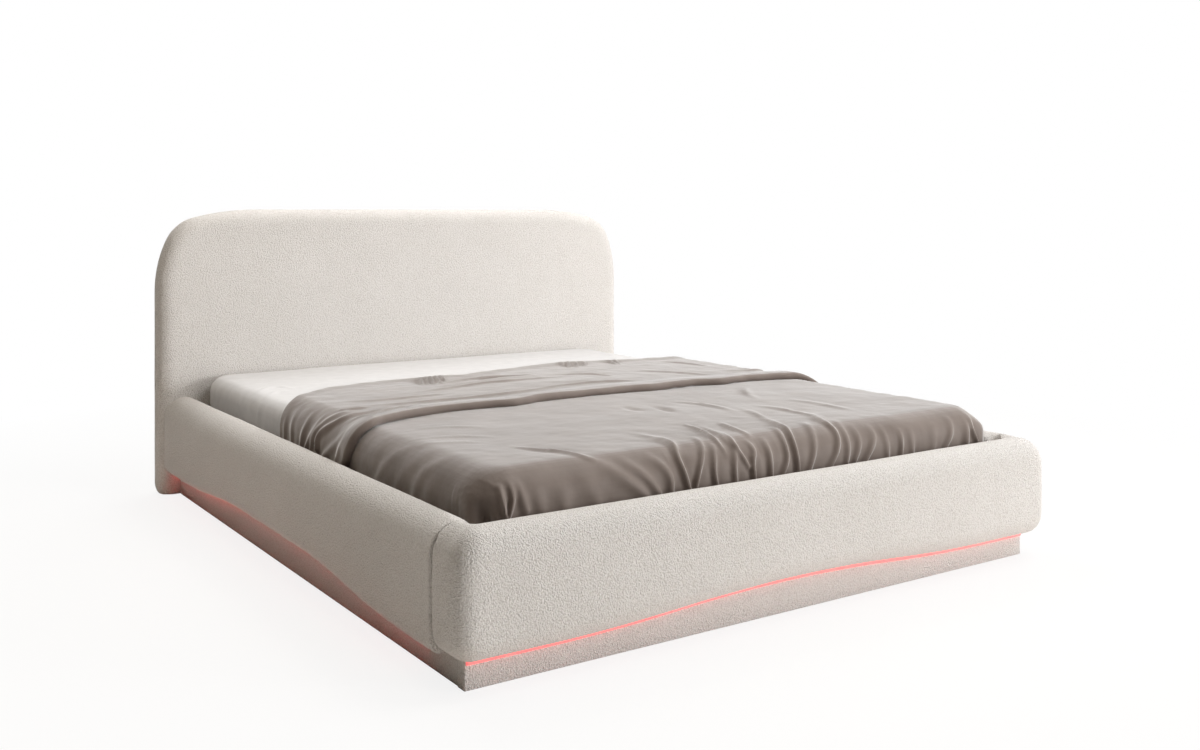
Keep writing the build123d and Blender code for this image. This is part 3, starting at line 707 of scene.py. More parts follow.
def fold_height(places, folds, from_hem):
    """Height of all the folds in metres; from the hem they start full, else they fade at both ends."""
    total = np.zeros(len(places))
    for half_width, height, *row in folds:
        line = soften(read_line(row))
        width = fold_spread * half_width / 1000
        margin = fold_reach * width
        near = np.all((places > line.min(0) - margin) & (places < line.max(0) + margin), axis=1)
        away, share = distance_along(places[near], line)
        if from_hem:
            fade = 1 - share**hem_fade
            spread = width * (1 + hem_widening * share)
        else:
            fade = np.sin(math.pi * np.clip(share, least_share, 1 - least_share)) ** end_fade
            spread = width
        crest = crest_share * np.exp(-((away / spread) ** 2))
        crest -= trough_share * np.exp(-((away / (trough_spread * spread)) ** 2))
        total[near] += height / 1000 * crest * fade
    return total


def other_side(folds, slip):
    """The same folds on the other side of the bed, slipped along it so that they don't match."""
    mirrored = []
    for half_width, height, *row in folds:
        places = np.array(row).reshape(-1, 2) * (-1, 1) + (0, slip)
        mirrored.append((half_width * other_width, height * other_height, *places.ravel()))
    return mirrored


print("fold helpers ready")

# %% [markdown]
# The fitted sheet is pulled tight, so it has only small creases, most of them near its sides. A cloth
# simulation could find creases of its own, and drawing them puts them where the photograph has them.
# The mesh is divided once where they lie, and stays light elsewhere.


# %% Finer mesh where the folds are
def keep_faces(obj, test):
    """Delete the faces whose middle fails a test."""
    pick(obj, "FACE", lambda face: not test(face.calc_center_median()))
    bpy.ops.mesh.delete(type="FACE")
    end_edit()


def finer(obj, test, cuts):
    """Divide the faces whose middle passes a test."""
    pick(obj, "FACE", lambda face: test(face.calc_center_median()))
    bpy.ops.mesh.subdivide(number_cuts=cuts, smoothness=0)
    end_edit()


print("mesh helpers ready")

# %% Sheet creases
sheet_folds = [
    (10, 3.5, -766, 542, -703, 617, -664, 611, -649, 542),
    (9, 2.5, -763, 455, -709, 527, -676, 503),
    (18, 2.5, -862, 599, -808, 626, -772, 662),
    (14, 2.5, -871, 440, -832, 431, -793, 443),
    (16, 2.5, -882, 831, -832, 851, -781, 860),
    (16, 1.5, -334, 545, -136, 527, 77, 566),
    (18, 1.5, 59, 701, 254, 671, 473, 716),
]
sheet_hem = mat_low.z + 0.008
side_creases = 5
creased_x, creased_y = 0.55, 0.15
deepest_crease = 0.0005
keep_faces(sheet, lambda c: c.z > sheet_hem)
finer(sheet, lambda c: abs(c.x) > creased_x and c.y > creased_y, 1)
points = read_points(sheet)
places = spread_flat(points, sheet_outset, sheet_top)
crease = fold_height(places, sheet_folds + other_side(sheet_folds[:side_creases], 30), False)
crease += rough(points, wave=0.16, seed=5, height=0.0016, stretch=(0.5, 1, 1))
crease += rough(points, wave=0.45, seed=8, height=0.002)
points += read_points(sheet, "normal") * np.maximum(crease, -deepest_crease)[:, None]
write_points(sheet, points)
print("sheet", len(sheet.data.polygons), "faces")

# %% [markdown]
# The coverlet is one cloth on the real bed, turned back over itself near the head. Here it is two
# sheets, one for each layer. Both follow two lines drawn across the bed: where the cloth turns back,
# and where its free edge lies.

# %% Where the coverlet's edges lie
head_edge_line = [
    -981, 186, -898, 182, -850, 182, -814, 191, -775, 206, -727, 242, -628, 314, -529, 341,
    -364, 359, -199, 365, -145, 338, -100, 359, -40, 377, 134, 416, 293, 443, 368, 434,
    446, 413, 557, 371, 671, 371, 746, 368, 921, 358,
]
free_edge_line = [
    -981, -291, -895, -316, -859, -343, -832, -349, -799, -349, -766, -352, -727, -322, -664, -292,
    -583, -274, -472, -265, -379, -271, -307, -283, -256, -265, -214, -247, -139, -247, 2, -247,
    113, -244, 179, -259, 296, -250, 365, -241, 449, -271, 563, -253, 671, -268, 764, -290,
    814, -332, 919, -352,
]

edge_samples, edge_window = 800, 25


def edge_at(line, across):
    """A smooth edge through a row of places, at some places across the cloth."""
    xs, ys = read_line(line).T
    fine = np.linspace(xs[0], xs[-1], edge_samples)
    window = np.hanning(edge_window)
    padded = np.pad(np.interp(fine, xs, ys), len(window) // 2, mode="edge")
    smooth = np.convolve(padded, window / window.sum(), mode="valid")
    return np.interp(across, fine, smooth)


print("head edge", len(head_edge_line) // 2, "places, free edge", len(free_edge_line) // 2, "places")

# %% Folds of the lower layer
foot_folds = [
    (6, 11, -265, -1078, -283, -1027, -286, -991, -271, -955, -238, -850),
    (5, 10, -250, -1078, -238, -1039, -214, -1000, -196, -970, -172, -901),
    (5, 11, -184, -1078, -193, -1039, -178, -1000, -160, -964),
    (6, 9, -127, -1075, -130, -1036, -115, -1003, -94, -946),
    (5, 6, -85, -1042, -106, -1000, -103, -958, -64, -844),
    (5, 12, -70, -1075, -73, -1033, -55, -1006, -64, -967),
    (6, 11, -16, -1075, -16, -1045, -13, -1006, -10, -967),
    (6, 10, 20, -1075, 41, -1039, 44, -1003, 74, -907),
    (6, 12, 74, -1075, 71, -1018, 80, -973, 146, -820),
    (7, 8, 113, -1075, 137, -1024, 152, -985, 191, -904),
    (7, 10, 185, -1075, 218, -1030, 233, -988, 230, -946, 305, -814),
    (7, 7, 245, -1072, 257, -1024, 260, -979, 281, -919),
    (7, 7, 275, -1069, 296, -1030, 299, -997, 299, -961),
    (7, 9, 311, -1075, 350, -1024, 356, -1003, 353, -973),
    (8, 6, 395, -1075, 395, -1021, 386, -979),
    (6, 9, 446, -1075, 452, -1036, 455, -1000),
    (8, 5, 491, -1072, 491, -1021, 497, -994),
    (10, 4, 572, -1069, 581, -1021, 587, -994),
    (7, 8, 620, -1072, 650, -1033, 659, -985),
    (12, 4, 707, -1072, 710, -1006),
    (11, 8, -388, -1078, -409, -1057, -454, -1024, -493, -988, -526, -955),
    (9, 8, -355, -1072, -385, -1033, -424, -1000, -454, -967),
    (8, 8, -319, -1072, -319, -1042, -337, -1009, -373, -970),
    (16, 5, -526, -1072, -544, -1030, -562, -985),
    (14, 4, -610, -1072, -616, -1030, -625, -985),
    (12, 4, -667, -1072, -679, -1030, -697, -985),
]
left_folds = [
    (20, 4, -917, -394, -847, -436, -799, -469, -751, -508),
    (12, 6, -917, -472, -847, -532, -808, -571, -760, -622, -697, -640),
    (16, 4, -918, -523, -853, -568, -811, -607),
    (15, 5, -917, -582, -844, -637, -808, -664, -769, -697, -715, -724),
    (13, 7, -917, -684, -838, -724, -802, -757, -760, -790, -685, -835),
    (20, 4, -917, -752, -835, -796, -793, -817, -751, -835),
    (22, 5, -917, -844, -844, -904, -805, -928, -763, -961),
]
top_folds = [
    (13, 2.5, -256, -1003, -271, -970, -253, -883, -265, -775),
    (6, 6, -142, -1012, -148, -958, -103, -853, -88, -766),
    (8, 4, -76, -820, -103, -925, -121, -970, -100, -1006),
    (8, 5, 2, -796, -25, -889, -43, -970),
    (8, 5, 122, -445, 152, -514, 161, -595, 146, -685),
    (12, -5, 20, -481, 11, -547, -4, -610),
    (12, -4, -58, -451, -61, -511, -58, -547),
    (9, 4, 473, -358, 386, -466, 341, -553),
    (9, 6, -598, -766, -568, -838, -541, -877, -526, -949, -496, -979),
    (9, 3, -715, -442, -643, -433, -565, -475, -532, -532),
    (9, 3, -760, -556, -679, -559, -601, -610, -568, -646),
    (9, 2.5, -766, -619, -694, -637, -625, -685),
    (12, 4, 266, -631, 296, -745, 278, -865),
    (14, 3, 413, -592, 452, -730, 431, -865),
    (10, 4, 191, -670, 170, -766, 110, -865),
]
corner_folds = [
    (4.5, 20, -778, -1078, -770, -1026, -764, -1000, -762, -985),
    (5, 13, -772, -1072, -758, -1058, -740, -1036, -740, -1006, -750, -986),
    (9, 7, -706, -1063, -718, -1021, -733, -994, -751, -976),
    (20, -32, -838, -1060, -828, -1018, -806, -992, -776, -978),
]
print(len(foot_folds) + len(left_folds) + len(top_folds) + len(corner_folds), "folds in the lower layer")

# %% [markdown]
# The lower layer starts as the mattress's own shape, a little larger, cut open at the head and below
# the tuck. Its mesh is divided where the folds are, the folds push it out along its normals, and what
# would pass into a rail or the footboard is held back in the well. A simulation would need the same
# walls, and would give folds of its own.

# %% Coverlet, lower layer
cloth_outset = 0.020
cloth_softer = 0.013
cloth_top = mattress_rim + 0.0215
cloth_crown = 0.003
cloth_voxel = 0.0105
tuck_z = mat_low.z + 0.030
straight_head = 0.56
foot_folds_to, foot_cloth_to = -0.87, -0.74
side_folds_from, side_folds_to = 0.74, 0.1


def near_folds(c):
    """True on the drops at the sides and near the foot, apart from the finest part at the foot."""
    beside = abs(c.x) > side_folds_from and c.y < side_folds_to
    return c.y >= foot_folds_to and (c.y < foot_cloth_to or beside)


coverlet = mattress_shape("coverlet_cloth", cloth_outset, cloth_top, cloth_crown, cloth_voxel, cloth_softer)
keep_faces(coverlet, lambda c: c.z > tuck_z and c.y < straight_head)
finer(coverlet, lambda c: c.y < foot_folds_to, 2)
finer(coverlet, near_folds, 1)
print("coverlet lower layer", len(coverlet.data.polygons), "faces")

# %% Fold and tuck the lower layer
side_share = 0.36
cloth_depth = 0.0055
pit_depth_high, pit_depth_low = 0.006, 0.024
pit_fade = (0.02, 0.05)
drop_fade = (0.01, 0.06)
flap_start, flap_calm = (-0.22, -0.10), 0.8
head_under = 0.016
well_side, well_foot = 0.8165, -1.0040
roll_room, roll_z = 0.022, (0.292, 0.338)


def keep_in_well(points, side_room):
    """Hold tucked cloth clear of the rails and footboard; above their rolls it may stand out."""
    free = roll_room * smooth_step(*roll_z, points[:, 2])
    limit = side_room + free
    points[:, 0] = np.clip(points[:, 0], -limit, limit)
    points[:, 1] = np.maximum(points[:, 1], well_foot - free)


points = read_points(coverlet)
places = spread_flat(points, cloth_outset, cloth_top, cloth_softer)
height = fold_height(places, foot_folds + corner_folds, True)
height += side_share * fold_height(places, left_folds, True)
height += side_share * fold_height(places, other_side(left_folds, 40), True)
height += fold_height(places, other_side(corner_folds[1:3], 0), True)
height += fold_height(places, top_folds, False)
height += rough(points, wave=0.26, seed=4, height=0.0028, stretch=(0.8, 1, 1))
height += rough(points, wave=0.07, seed=6, height=0.0010)
height *= 1 - flap_calm * smooth_step(*flap_start, points[:, 1])
corner_reach = mattress_corner + cloth_outset
beyond_side = np.abs(points[:, 0]) - (mat_high.x + cloth_outset - corner_reach)
beyond_foot = mat_low.y - cloth_outset + corner_reach - points[:, 1]
at_corner = smooth_step(*pit_fade, np.minimum(beyond_side, beyond_foot))
below = smooth_step(*(cloth_top - drop for drop in drop_fade), points[:, 2])
deepest = cloth_depth + (pit_depth_high + (pit_depth_low - pit_depth_high) * below) * at_corner
points += read_points(coverlet, "normal") * np.maximum(height, -deepest)[:, None]
squarer = 1 + (fill_out(beyond_side, beyond_foot, corner_squareness) - 1) * below
points[:, 0] += np.sign(points[:, 0]) * np.clip(beyond_side, 0, None) * (squarer - 1)
points[:, 1] -= np.clip(beyond_foot, 0, None) * (squarer - 1)
across = spread_flat(points, cloth_outset, cloth_top, cloth_softer)[:, 0]
head = edge_at(head_edge_line, across) - head_under
share = np.clip(points[:, 1] / straight_head, 0, 1)
points[:, 1] = np.where(share > 0, share * head, points[:, 1])
keep_in_well(points, well_side)
write_points(coverlet, points)
print("coverlet folds up to", round(float(height.max()) * 1000, 1), "mm")

# %% [markdown]
# The turned-back part is drawn as a tailor would lay it: rows of points run from the fold at the
# head, over the top, to the free edge, which curls down and under in a soft roll. Each row follows
# the mattress across the bed and down both sides.

# %% Folds of the turned-back flap
flap_drop_folds = [
    (8, 5, -910, 143, -889, 137, -841, 137, -799, 161),
    (9, 5, -910, 80, -883, 80, -829, 89, -784, 113),
    (9, 8, -910, 11, -895, 5, -838, -16, -781, -7),
    (8, 9, -910, -19, -898, -28, -841, -79, -775, -85),
    (8, 8, -907, -61, -856, -82, -823, -106, -769, -142, -718, -133),
    (9, 12, -886, -115, -844, -115, -808, -175, -751, -199, -637, -145),
    (9, 10, -921, -151, -901, -157, -853, -247, -808, -271),
    (9, 8, -916, -263, -886, -268, -856, -286, -820, -301),
]
flap_top_folds = [
    (9, 6, -760, -94, -733, -118, -676, -94),
    (12, 6, -781, -226, -727, -238, -631, -190, -550, -172),
    (12, 4, -694, 35, -610, -1, -493, -7, -364, 5),
    (14, 5, -685, -67, -535, -94, -358, -106, -148, -76, -19, -52),
    (12, 5, -433, 77, -316, 98, -202, 125, -97, 128, 98, 131),
    (9, -5, -184, 194, -73, 221, 53, 212),
    (14, 5, -337, 188, -187, 230, -22, 257),
    (14, 5, -94, -58, 53, -46, 197, -70, 272, -130),
    (10, 4, 119, 170, 212, 140, 251, 29),
    (14, 4, 389, 113, 464, -1, 515, -91, 563, -160),
    (12, 4, 614, 284, 659, 185, 674, 74),
]
gathers = [
    (5, 5, -298, 350, -337, 254, -367, 191),
    (5, 5, -277, 356, -316, 260, -349, 188),
    (5, 6, -259, 359, -298, 263, -337, 176),
    (5, 5, -241, 359, -274, 269, -304, 191),
    (5, 5, -226, 353, -253, 272, -274, 209),
    (5, 4, 293, 431, 239, 329),
    (5, 5, 320, 431, 242, 296),
    (5, 4, 341, 413, 272, 293),
    (5, 4, 371, 401, 314, 311),
    (6, 4, 470, 386, 425, 278),
    (5, 5, 488, 383, 437, 272),
]
print(len(flap_drop_folds) + len(flap_top_folds) + len(gathers), "folds in the flap")

# %% Rows of the flap
flap_outset = 0.0255
flap_edge = mattress_edge + cloth_softer + flap_outset
flap_top = cloth_top + 0.009
flap_side_end = 0.945
flap_step = 0.0048
fold_radius = 0.0045
fold_angles = (-80, -45, -15, 15, 45, 80)
under_rows = ((0.030, -0.0085), (0.015, -0.0088))
top_shares = np.linspace(0.01, 1, 118)
roll_radius, roll_uneven, roll_wave = 0.0125, 0.22, 0.11
roll_angles = np.linspace(75, -165, 15)
edge_rise, edge_rise_share = 0.0125, (0.78, 0.975)
fold_rise, fold_rise_share = 0.003, (0.10, 0.02)


def round_slab_place(across, along, lift):
    """The place on a rounded slab at some distance across the spread cloth, raised by lift."""
    flat = mat_high.x + flap_outset - flap_edge
    past = np.clip(np.abs(across) - flat, 0, None)
    turn = np.clip(past / flap_edge, 0, math.pi / 2)
    x = np.where(past > 0, flat + flap_edge * np.sin(turn), np.abs(across))
    z = flap_top - flap_edge * (1 - np.cos(turn)) - np.clip(past - flap_edge * math.pi / 2, 0, None)
    crown = cloth_crown * (1 - np.clip(np.abs(across) / mat_high.x, 0, 1) ** 2)
    x = (x + lift * np.sin(turn)) * np.sign(across)
    return np.stack([x, along, z + crown + lift * np.cos(turn)], -1)


across = np.linspace(-flap_side_end, flap_side_end, int(2 * flap_side_end / flap_step))
head = edge_at(head_edge_line, across)
free = edge_at(free_edge_line, across)
uneven = rough(np.stack([across, across * 0, across * 0], 1), roll_wave, seed=41, octaves=3)
roll = roll_radius * (1 + roll_uneven * uneven)
rows = [(head - back, np.full_like(across, lift)) for back, lift in under_rows]
for angle in np.radians(fold_angles):
    lift = np.full_like(across, fold_radius * (math.sin(angle) - 1))
    rows.append((head - fold_radius * (1 - math.cos(angle)), lift))
first_top = len(rows)
for share in top_shares:
    start, end = head - fold_radius, free + roll
    bulge = edge_rise * smooth_step(*edge_rise_share, share)
    bulge += fold_rise * smooth_step(*fold_rise_share, share)
    rows.append((start + share * (end - start), np.full_like(across, bulge)))
last_top = len(rows) - 1
for angle in np.radians(roll_angles):
    rows.append((free + roll * (1 - math.cos(angle)), edge_rise - roll + roll * math.sin(angle)))
along, lift = (np.array(part) for part in zip(*rows))
sideways = np.broadcast_to(across, along.shape)
print("flap", len(rows), "rows of", len(across), "points")

# %% Flap
gather_share = 1.8
drop_share = 0.8
flap_depth = 0.0045
flap_side = 0.8188
fold_weights = (0, 0, 0, 0.1, 0.25, 0.45, 0.65, 0.85)
roll_end_weight = 0.2

places = np.stack([sideways.ravel(), along.ravel()], 1)
height = drop_share * fold_height(places, flap_drop_folds + other_side(flap_drop_folds, 100), True)
height += fold_height(places, flap_top_folds, False) + gather_share * fold_height(places, gathers, False)
spots = np.stack([places[:, 0], places[:, 1], places[:, 0] * 0], 1)
height += rough(spots, wave=0.16, seed=9, height=0.0022, stretch=(0.55, 1.1, 1))
height += rough(spots, wave=0.05, seed=10, height=0.0009)
height = np.maximum(height, -flap_depth).reshape(along.shape)
height[:first_top] *= np.array(fold_weights)[:, None]
roll_weights = np.linspace(1, roll_end_weight, len(rows) - last_top - 1)
height[last_top + 1:] = height[last_top] * roll_weights[:, None]
flap_points = round_slab_place(sideways, along, lift + height)

mesh = bpy.data.meshes.new("coverlet_flap")
count = len(across)
quads = [
    (row * count + i, row * count + i + 1, (row + 1) * count + i + 1, (row + 1) * count + i)
    for row in range(len(rows) - 1)
    for i in range(count - 1)
]
mesh.from_pydata(flap_points.reshape(-1, 3).tolist(), [], quads)
flap = bpy.data.objects.new("coverlet_flap", mesh)
bpy.context.scene.collection.objects.link(flap)
only(flap)
bpy.ops.object.shade_smooth()
points = read_points(flap)
keep_in_well(points, flap_side)
write_points(flap, points)
print("flap", len(flap.data.polygons), "faces")

# %% [markdown]
# ## Finishes
# Boucle is a cloth of small curled loops: rounded grains a few millimetres wide, light on top and
# shaded between. A Voronoi pattern gives the grains, and noise bends them so that no row shows. The
# colour is pale at each grain's middle and darker towards the gaps: painted shade, beside the bump.


# %% Helpers for materials
def new_material(name):
    """A new material, its nodes, and the place on the object that its patterns follow."""
    material = bpy.data.materials.new(name)
    material.use_nodes = True
    tree = material.node_tree
    return material, tree, tree.nodes.new("ShaderNodeTexCoord").outputs["Object"]


def add_node(tree, kind, inputs=None, **settings):
    node = tree.nodes.new(kind)
    for key, value in settings.items():
        setattr(node, key, value)
    for key, value in (inputs or {}).items():
        if isinstance(value, bpy.types.NodeSocket):
            tree.links.new(value, node.inputs[key])
        else:
            node.inputs[key].default_value = value
    return node


def noise_node(tree, vector, scale, detail=3, roughness=0.5):
    return add_node(tree, "ShaderNodeTexNoise", {
        "Vector": vector, "Scale": scale, "Detail": detail, "Roughness": roughness})


def ramp_node(tree, value, *stops):
    """A colour for each height of a pattern, from stops of a height and a colour."""
    node = add_node(tree, "ShaderNodeValToRGB", {"Fac": value})
    for element, (place, colour) in zip(node.color_ramp.elements, stops):
        element.position = place
        element.color = (*colour, 1)
    return node.outputs["Color"]


def maths(tree, operation, first, second):
    return add_node(tree, "ShaderNodeMath", {0: first, 1: second}, operation=operation).outputs[0]


def srgb(red, green, blue):
    """A colour picked as 0 to 255, as the linear values that Blender works in."""
    return tuple(((c / 255 + 0.055) / 1.055) ** 2.4 for c in (red, green, blue))


fixed_sockets = {
    "roughness": "Roughness",
    "metallic": "Metallic",
    "sheen": "Sheen Weight",
    "sheen_roughness": "Sheen Roughness",
    "specular": "Specular IOR Level",
}


def finish(material, colour, relief, distance, strength, **fixed):
    """Give a material its colour, its relief as a bump, and its fixed values."""
    tree = material.node_tree
    shader = tree.nodes["Principled BSDF"]
    tree.links.new(colour, shader.inputs["Base Color"])
    bump = add_node(tree, "ShaderNodeBump", {"Height": relief, "Distance": distance, "Strength": strength})
    tree.links.new(bump.outputs["Normal"], shader.inputs["Normal"])
    for key, value in fixed.items():
        shader.inputs[fixed_sockets[key]].default_value = value
    return material


print("material helpers ready")

# %% Boucle
grain_scale, thread_scale, patch_scale = 270, 700, 6
bend_scale, bend_reach = 205, 0.0047
thread_share = 0.35


def make_boucle():
    material, tree, place = new_material("boucle")
    bend = noise_node(tree, place, bend_scale, detail=2)
    reach = {0: bend.outputs["Color"], 1: (bend_reach,) * 3}
    shift = add_node(tree, "ShaderNodeVectorMath", reach, operation="MULTIPLY")
    bent = add_node(tree, "ShaderNodeVectorMath", {0: place, 1: shift.outputs[0]}, operation="ADD")
    grain = add_node(tree, "ShaderNodeTexVoronoi", {
        "Vector": bent.outputs[0], "Scale": grain_scale, "Randomness": 1.0}).outputs["Distance"]
    thread = noise_node(tree, place, thread_scale, detail=2)
    broad = noise_node(tree, place, patch_scale)
    # Painted shade: the colour darkens from each grain's middle to the gaps between grains.
    tone = ramp_node(tree, grain, (0.0, srgb(243, 240, 237)), (0.8, srgb(213, 208, 203)))
    patch = ramp_node(tree, broad.outputs["Fac"], (0.3, (0.97, 0.97, 0.965)), (0.7, (1, 1, 1)))
    colour = add_node(
        tree, "ShaderNodeMix", {0: 1.0, 6: tone, 7: patch}, data_type="RGBA", blend_type="MULTIPLY")
    loops = maths(tree, "MULTIPLY", grain, -1.0)
    threads = maths(tree, "MULTIPLY", thread.outputs["Fac"], thread_share)
    relief = maths(tree, "ADD", loops, threads)
    return finish(material, colour.outputs[2], relief, distance=0.0027, strength=1.0,
                  roughness=0.95, sheen=0.25, sheen_roughness=0.6, specular=0.15)


boucle = make_boucle()
print("made", boucle.name)

# %% [markdown]
# The coverlet is a taupe satin, smooth, with a soft sheen where it is seen at a slant. The sheet is
# white cotton and nearly dull. Both are woven cloths seen from a step away, so one function makes
# them: patches of tone, small waves and fine threads.


# %% Bedding cloths
def make_bedding(name, tones, tone_noise, small_noise, thread_noise, thread_share, relief, **fixed):
    """Woven cloth: soft patches of tone, small waves and fine threads."""
    material, tree, place = new_material(name)
    patches = noise_node(tree, place, *tone_noise)
    thread = noise_node(tree, place, thread_noise, detail=2)
    small = noise_node(tree, place, *small_noise)
    colour = ramp_node(tree, patches.outputs["Fac"], (0.3, tones[0]), (0.7, tones[1]))
    threads = maths(tree, "MULTIPLY", thread.outputs["Fac"], thread_share)
    height = maths(tree, "ADD", threads, small.outputs["Fac"])
    return finish(material, colour, height, *relief, **fixed)


coverlet_cloth = make_bedding(
    "coverlet_satin", (srgb(114, 103, 96), srgb(127, 116, 109)),
    tone_noise=(9, 3), small_noise=(45, 4), thread_noise=900, thread_share=0.15, relief=(0.0016, 0.35),
    roughness=0.52, sheen=1.0, sheen_roughness=0.35, specular=0.12)
sheet_cotton = make_bedding(
    "sheet_cotton", (srgb(207, 206, 206), srgb(215, 214, 214)),
    tone_noise=(25, 3), small_noise=(25, 3), thread_noise=1200, thread_share=0.2, relief=(0.001, 0.3),
    roughness=0.8, sheen=0.1)
print("made", coverlet_cloth.name, sheet_cotton.name)

# %% [markdown]
# The light is a silicone tube lit from inside. A lamp object would light the plinth as well, but it
# has no body to look at, so the tube's own material glows. Those along the sides show only as a glow
# on the plinth, and are a deeper red.

# %% Light tube
cloud_green, cloud_blue = 1.25, 1.2


def make_light_silicone(name, pale, strength):
    """Milky silicone lit from inside in coral red; pale is how much green and blue it holds."""
    material, tree, place = new_material(name)
    shader = tree.nodes["Principled BSDF"]
    cloud = noise_node(tree, place, scale=60, detail=2)
    cloudy = (1.0, pale * cloud_green, pale * cloud_blue)
    colour = ramp_node(tree, cloud.outputs["Fac"], (0.3, (1.0, pale, pale)), (0.7, cloudy))
    tree.links.new(colour, shader.inputs["Base Color"])
    tree.links.new(colour, shader.inputs["Emission Color"])
    shader.inputs["Emission Strength"].default_value = strength
    shader.inputs["Roughness"].default_value = 0.4
    return material


light_silicone = make_light_silicone("light_silicone", pale=0.13, strength=1.1)
hidden_light = make_light_silicone("light_silicone_sides", pale=0.06, strength=2.0)
print("made", light_silicone.name, hidden_light.name)

# %% [markdown]
# Inside the bed are pine ledges, beech slats, particle board, painted or plated steel and moulded
# plastic. They hardly show, but each has a pattern of its own and not one flat colour, so that the
# bed looks right when it is taken apart.

# %% Wood, metal and plastic
mottle_shade = 0.86


def make_wood(name, light, dark, stretch):
    """Boards and slats: grain drawn out along the piece."""
    material, tree, place = new_material(name)
    long_way = add_node(tree, "ShaderNodeMapping", {"Vector": place, "Scale": stretch})
    grain = noise_node(tree, long_way.outputs[0], scale=18, detail=6, roughness=0.6).outputs["Fac"]
    colour = ramp_node(tree, grain, (0.35, dark), (0.65, light))
    return finish(material, colour, grain, distance=0.0006, strength=0.4, roughness=0.55)


def make_chipboard():
    material, tree, place = new_material("particle_board")
    chips = add_node(tree, "ShaderNodeTexVoronoi", {"Vector": place, "Scale": 260}).outputs["Distance"]
    colour = ramp_node(tree, chips, (0.1, srgb(196, 164, 120)), (0.8, srgb(150, 118, 80)))
    return finish(material, colour, chips, distance=0.0006, strength=0.4, roughness=0.8)


def make_hard(name, colour, metallic, roughness, speckle):
    """Painted or plated metal and moulded plastic, with a fine uneven surface."""
    material, tree, place = new_material(name)
    mottle = noise_node(tree, place, speckle).outputs["Fac"]
    tone = ramp_node(tree, mottle, (0.35, tuple(c * mottle_shade for c in colour)), (0.65, colour))
    return finish(material, tone, mottle, distance=0.0003, strength=0.3,
                  metallic=metallic, roughness=roughness)


def make_plain_cloth(name, colour, darker, scale):
    """Woven cloth seen from near: fine threads crossing."""
    material, tree, place = new_material(name)
    weave = add_node(tree, "ShaderNodeTexBrick", {
        "Vector": place, "Scale": scale, "Color1": (*colour, 1), "Color2": (*darker, 1),
        "Mortar": (*darker, 1)})
    return finish(material, weave.outputs["Color"], weave.outputs["Fac"],
                  distance=0.0003, strength=0.4, roughness=0.9)


finishes = {
    "pine": make_wood("pine", srgb(222, 190, 142), srgb(190, 152, 104), (6, 1, 6)),
    "beech": make_wood("beech", srgb(226, 196, 158), srgb(200, 164, 122), (1, 8, 8)),
    "particle_board": make_chipboard(),
    "back_cloth": make_plain_cloth("back_cloth", srgb(70, 68, 66), srgb(54, 52, 50), 500),
    "mattress_ticking": make_plain_cloth("mattress_ticking", srgb(226, 224, 220), srgb(206, 204, 200), 300),
    "light_silicone": light_silicone,
    "boucle": boucle,
    "sheet_cotton": sheet_cotton,
    "coverlet_cloth": coverlet_cloth,
}
for name, tint, metallic, roughness, speckle in (
    ("cap_plastic", (48, 48, 50), 0.0, 0.45, 300),
    ("driver_plastic", (232, 232, 230), 0.0, 0.4, 300),
    ("bracket_steel", (150, 152, 155), 1.0, 0.38, 120),
    ("bolt_steel", (178, 178, 176), 1.0, 0.3, 200),
    ("leg_paint", (40, 40, 42), 0.0, 0.42, 260),
    ("foot_plastic", (30, 30, 31), 0.0, 0.5, 260),
):
    finishes[name] = make_hard(name, srgb(*tint), metallic, roughness, speckle)
print(len(finishes), "finishes")

# %% [markdown]
# Every CAD node that stays gets the finish that its slot in the record names. Each new piece says
# which body it rides on, which slot it has and which CAD nodes it stands for.


# %% Dress the CAD nodes and the new pieces
def dress(obj, material):
    obj.data.materials.clear()
    obj.data.materials.append(material)


for row in frame["record"]["subparts"]:
    if row["material_slot"] in finishes:
        dress(nodes[row["node"]], finishes[row["material_slot"]])

made = [
    (headboard, "boucle", ("headboard_cover", "headboard_foam")),
    (footboard, "boucle", ("footboard_cover", "footboard_foam")),
    (right_rail, "boucle", ("right_rail_cover", "right_rail_foam")),
    (left_rail, "boucle", ("left_rail_cover", "left_rail_foam")),
    (plinth_front, "boucle", ("plinth_front_cover",)),
    (plinth_right, "boucle", ("right_plinth_cover",)),
    (plinth_left, "boucle", ("left_plinth_cover",)),
    (back_panel, "back_cloth", ("headboard_back_panel",)),
    (mattress, "mattress_ticking", ("mattress",)),
    (sheet, "sheet_cotton", ("fitted_sheet",)),
    (coverlet, "coverlet_cloth", ("coverlet",)),
    (flap, "coverlet_cloth", ()),
    (tube_right, "light_silicone", ("right_light_strip",)),
    (tube_left, "light_silicone", ("left_light_strip",)),
]
for obj, slot, stood_for in made:
    dress(obj, finishes[slot])
    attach(obj, "bed")
    if stood_for:
        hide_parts(*stood_for)
dress(tube_right, hidden_light)
dress(tube_left, hidden_light)
print(len(made), "new pieces")

# %% [markdown]

# %% Soft pieces
print("soft pieces: none declared")

# %% [markdown]
# ## Light
# Soft lamps stand high round the bed. A far, low one on the right in front lights the footboard and
# the plinth, and the left one is faint and warm, so that the left sides lie in a warm shade. The
# floor is pale and keeps the bed's shadow.

# %% Floor, surround and lamps
plain_white = (1, 1, 1)
warm_white = (1.0, 0.87, 0.71)
fill_colour, fill_strength = (1.0, 0.93, 0.85), 0.02
floor_colour, floor_size = (0.90, 0.865, 0.82), 80
fade_from, fade_to, fade_least = 1.2, 3.2, 0.84
lamp_aim = Vector((0, 0, 0.3))


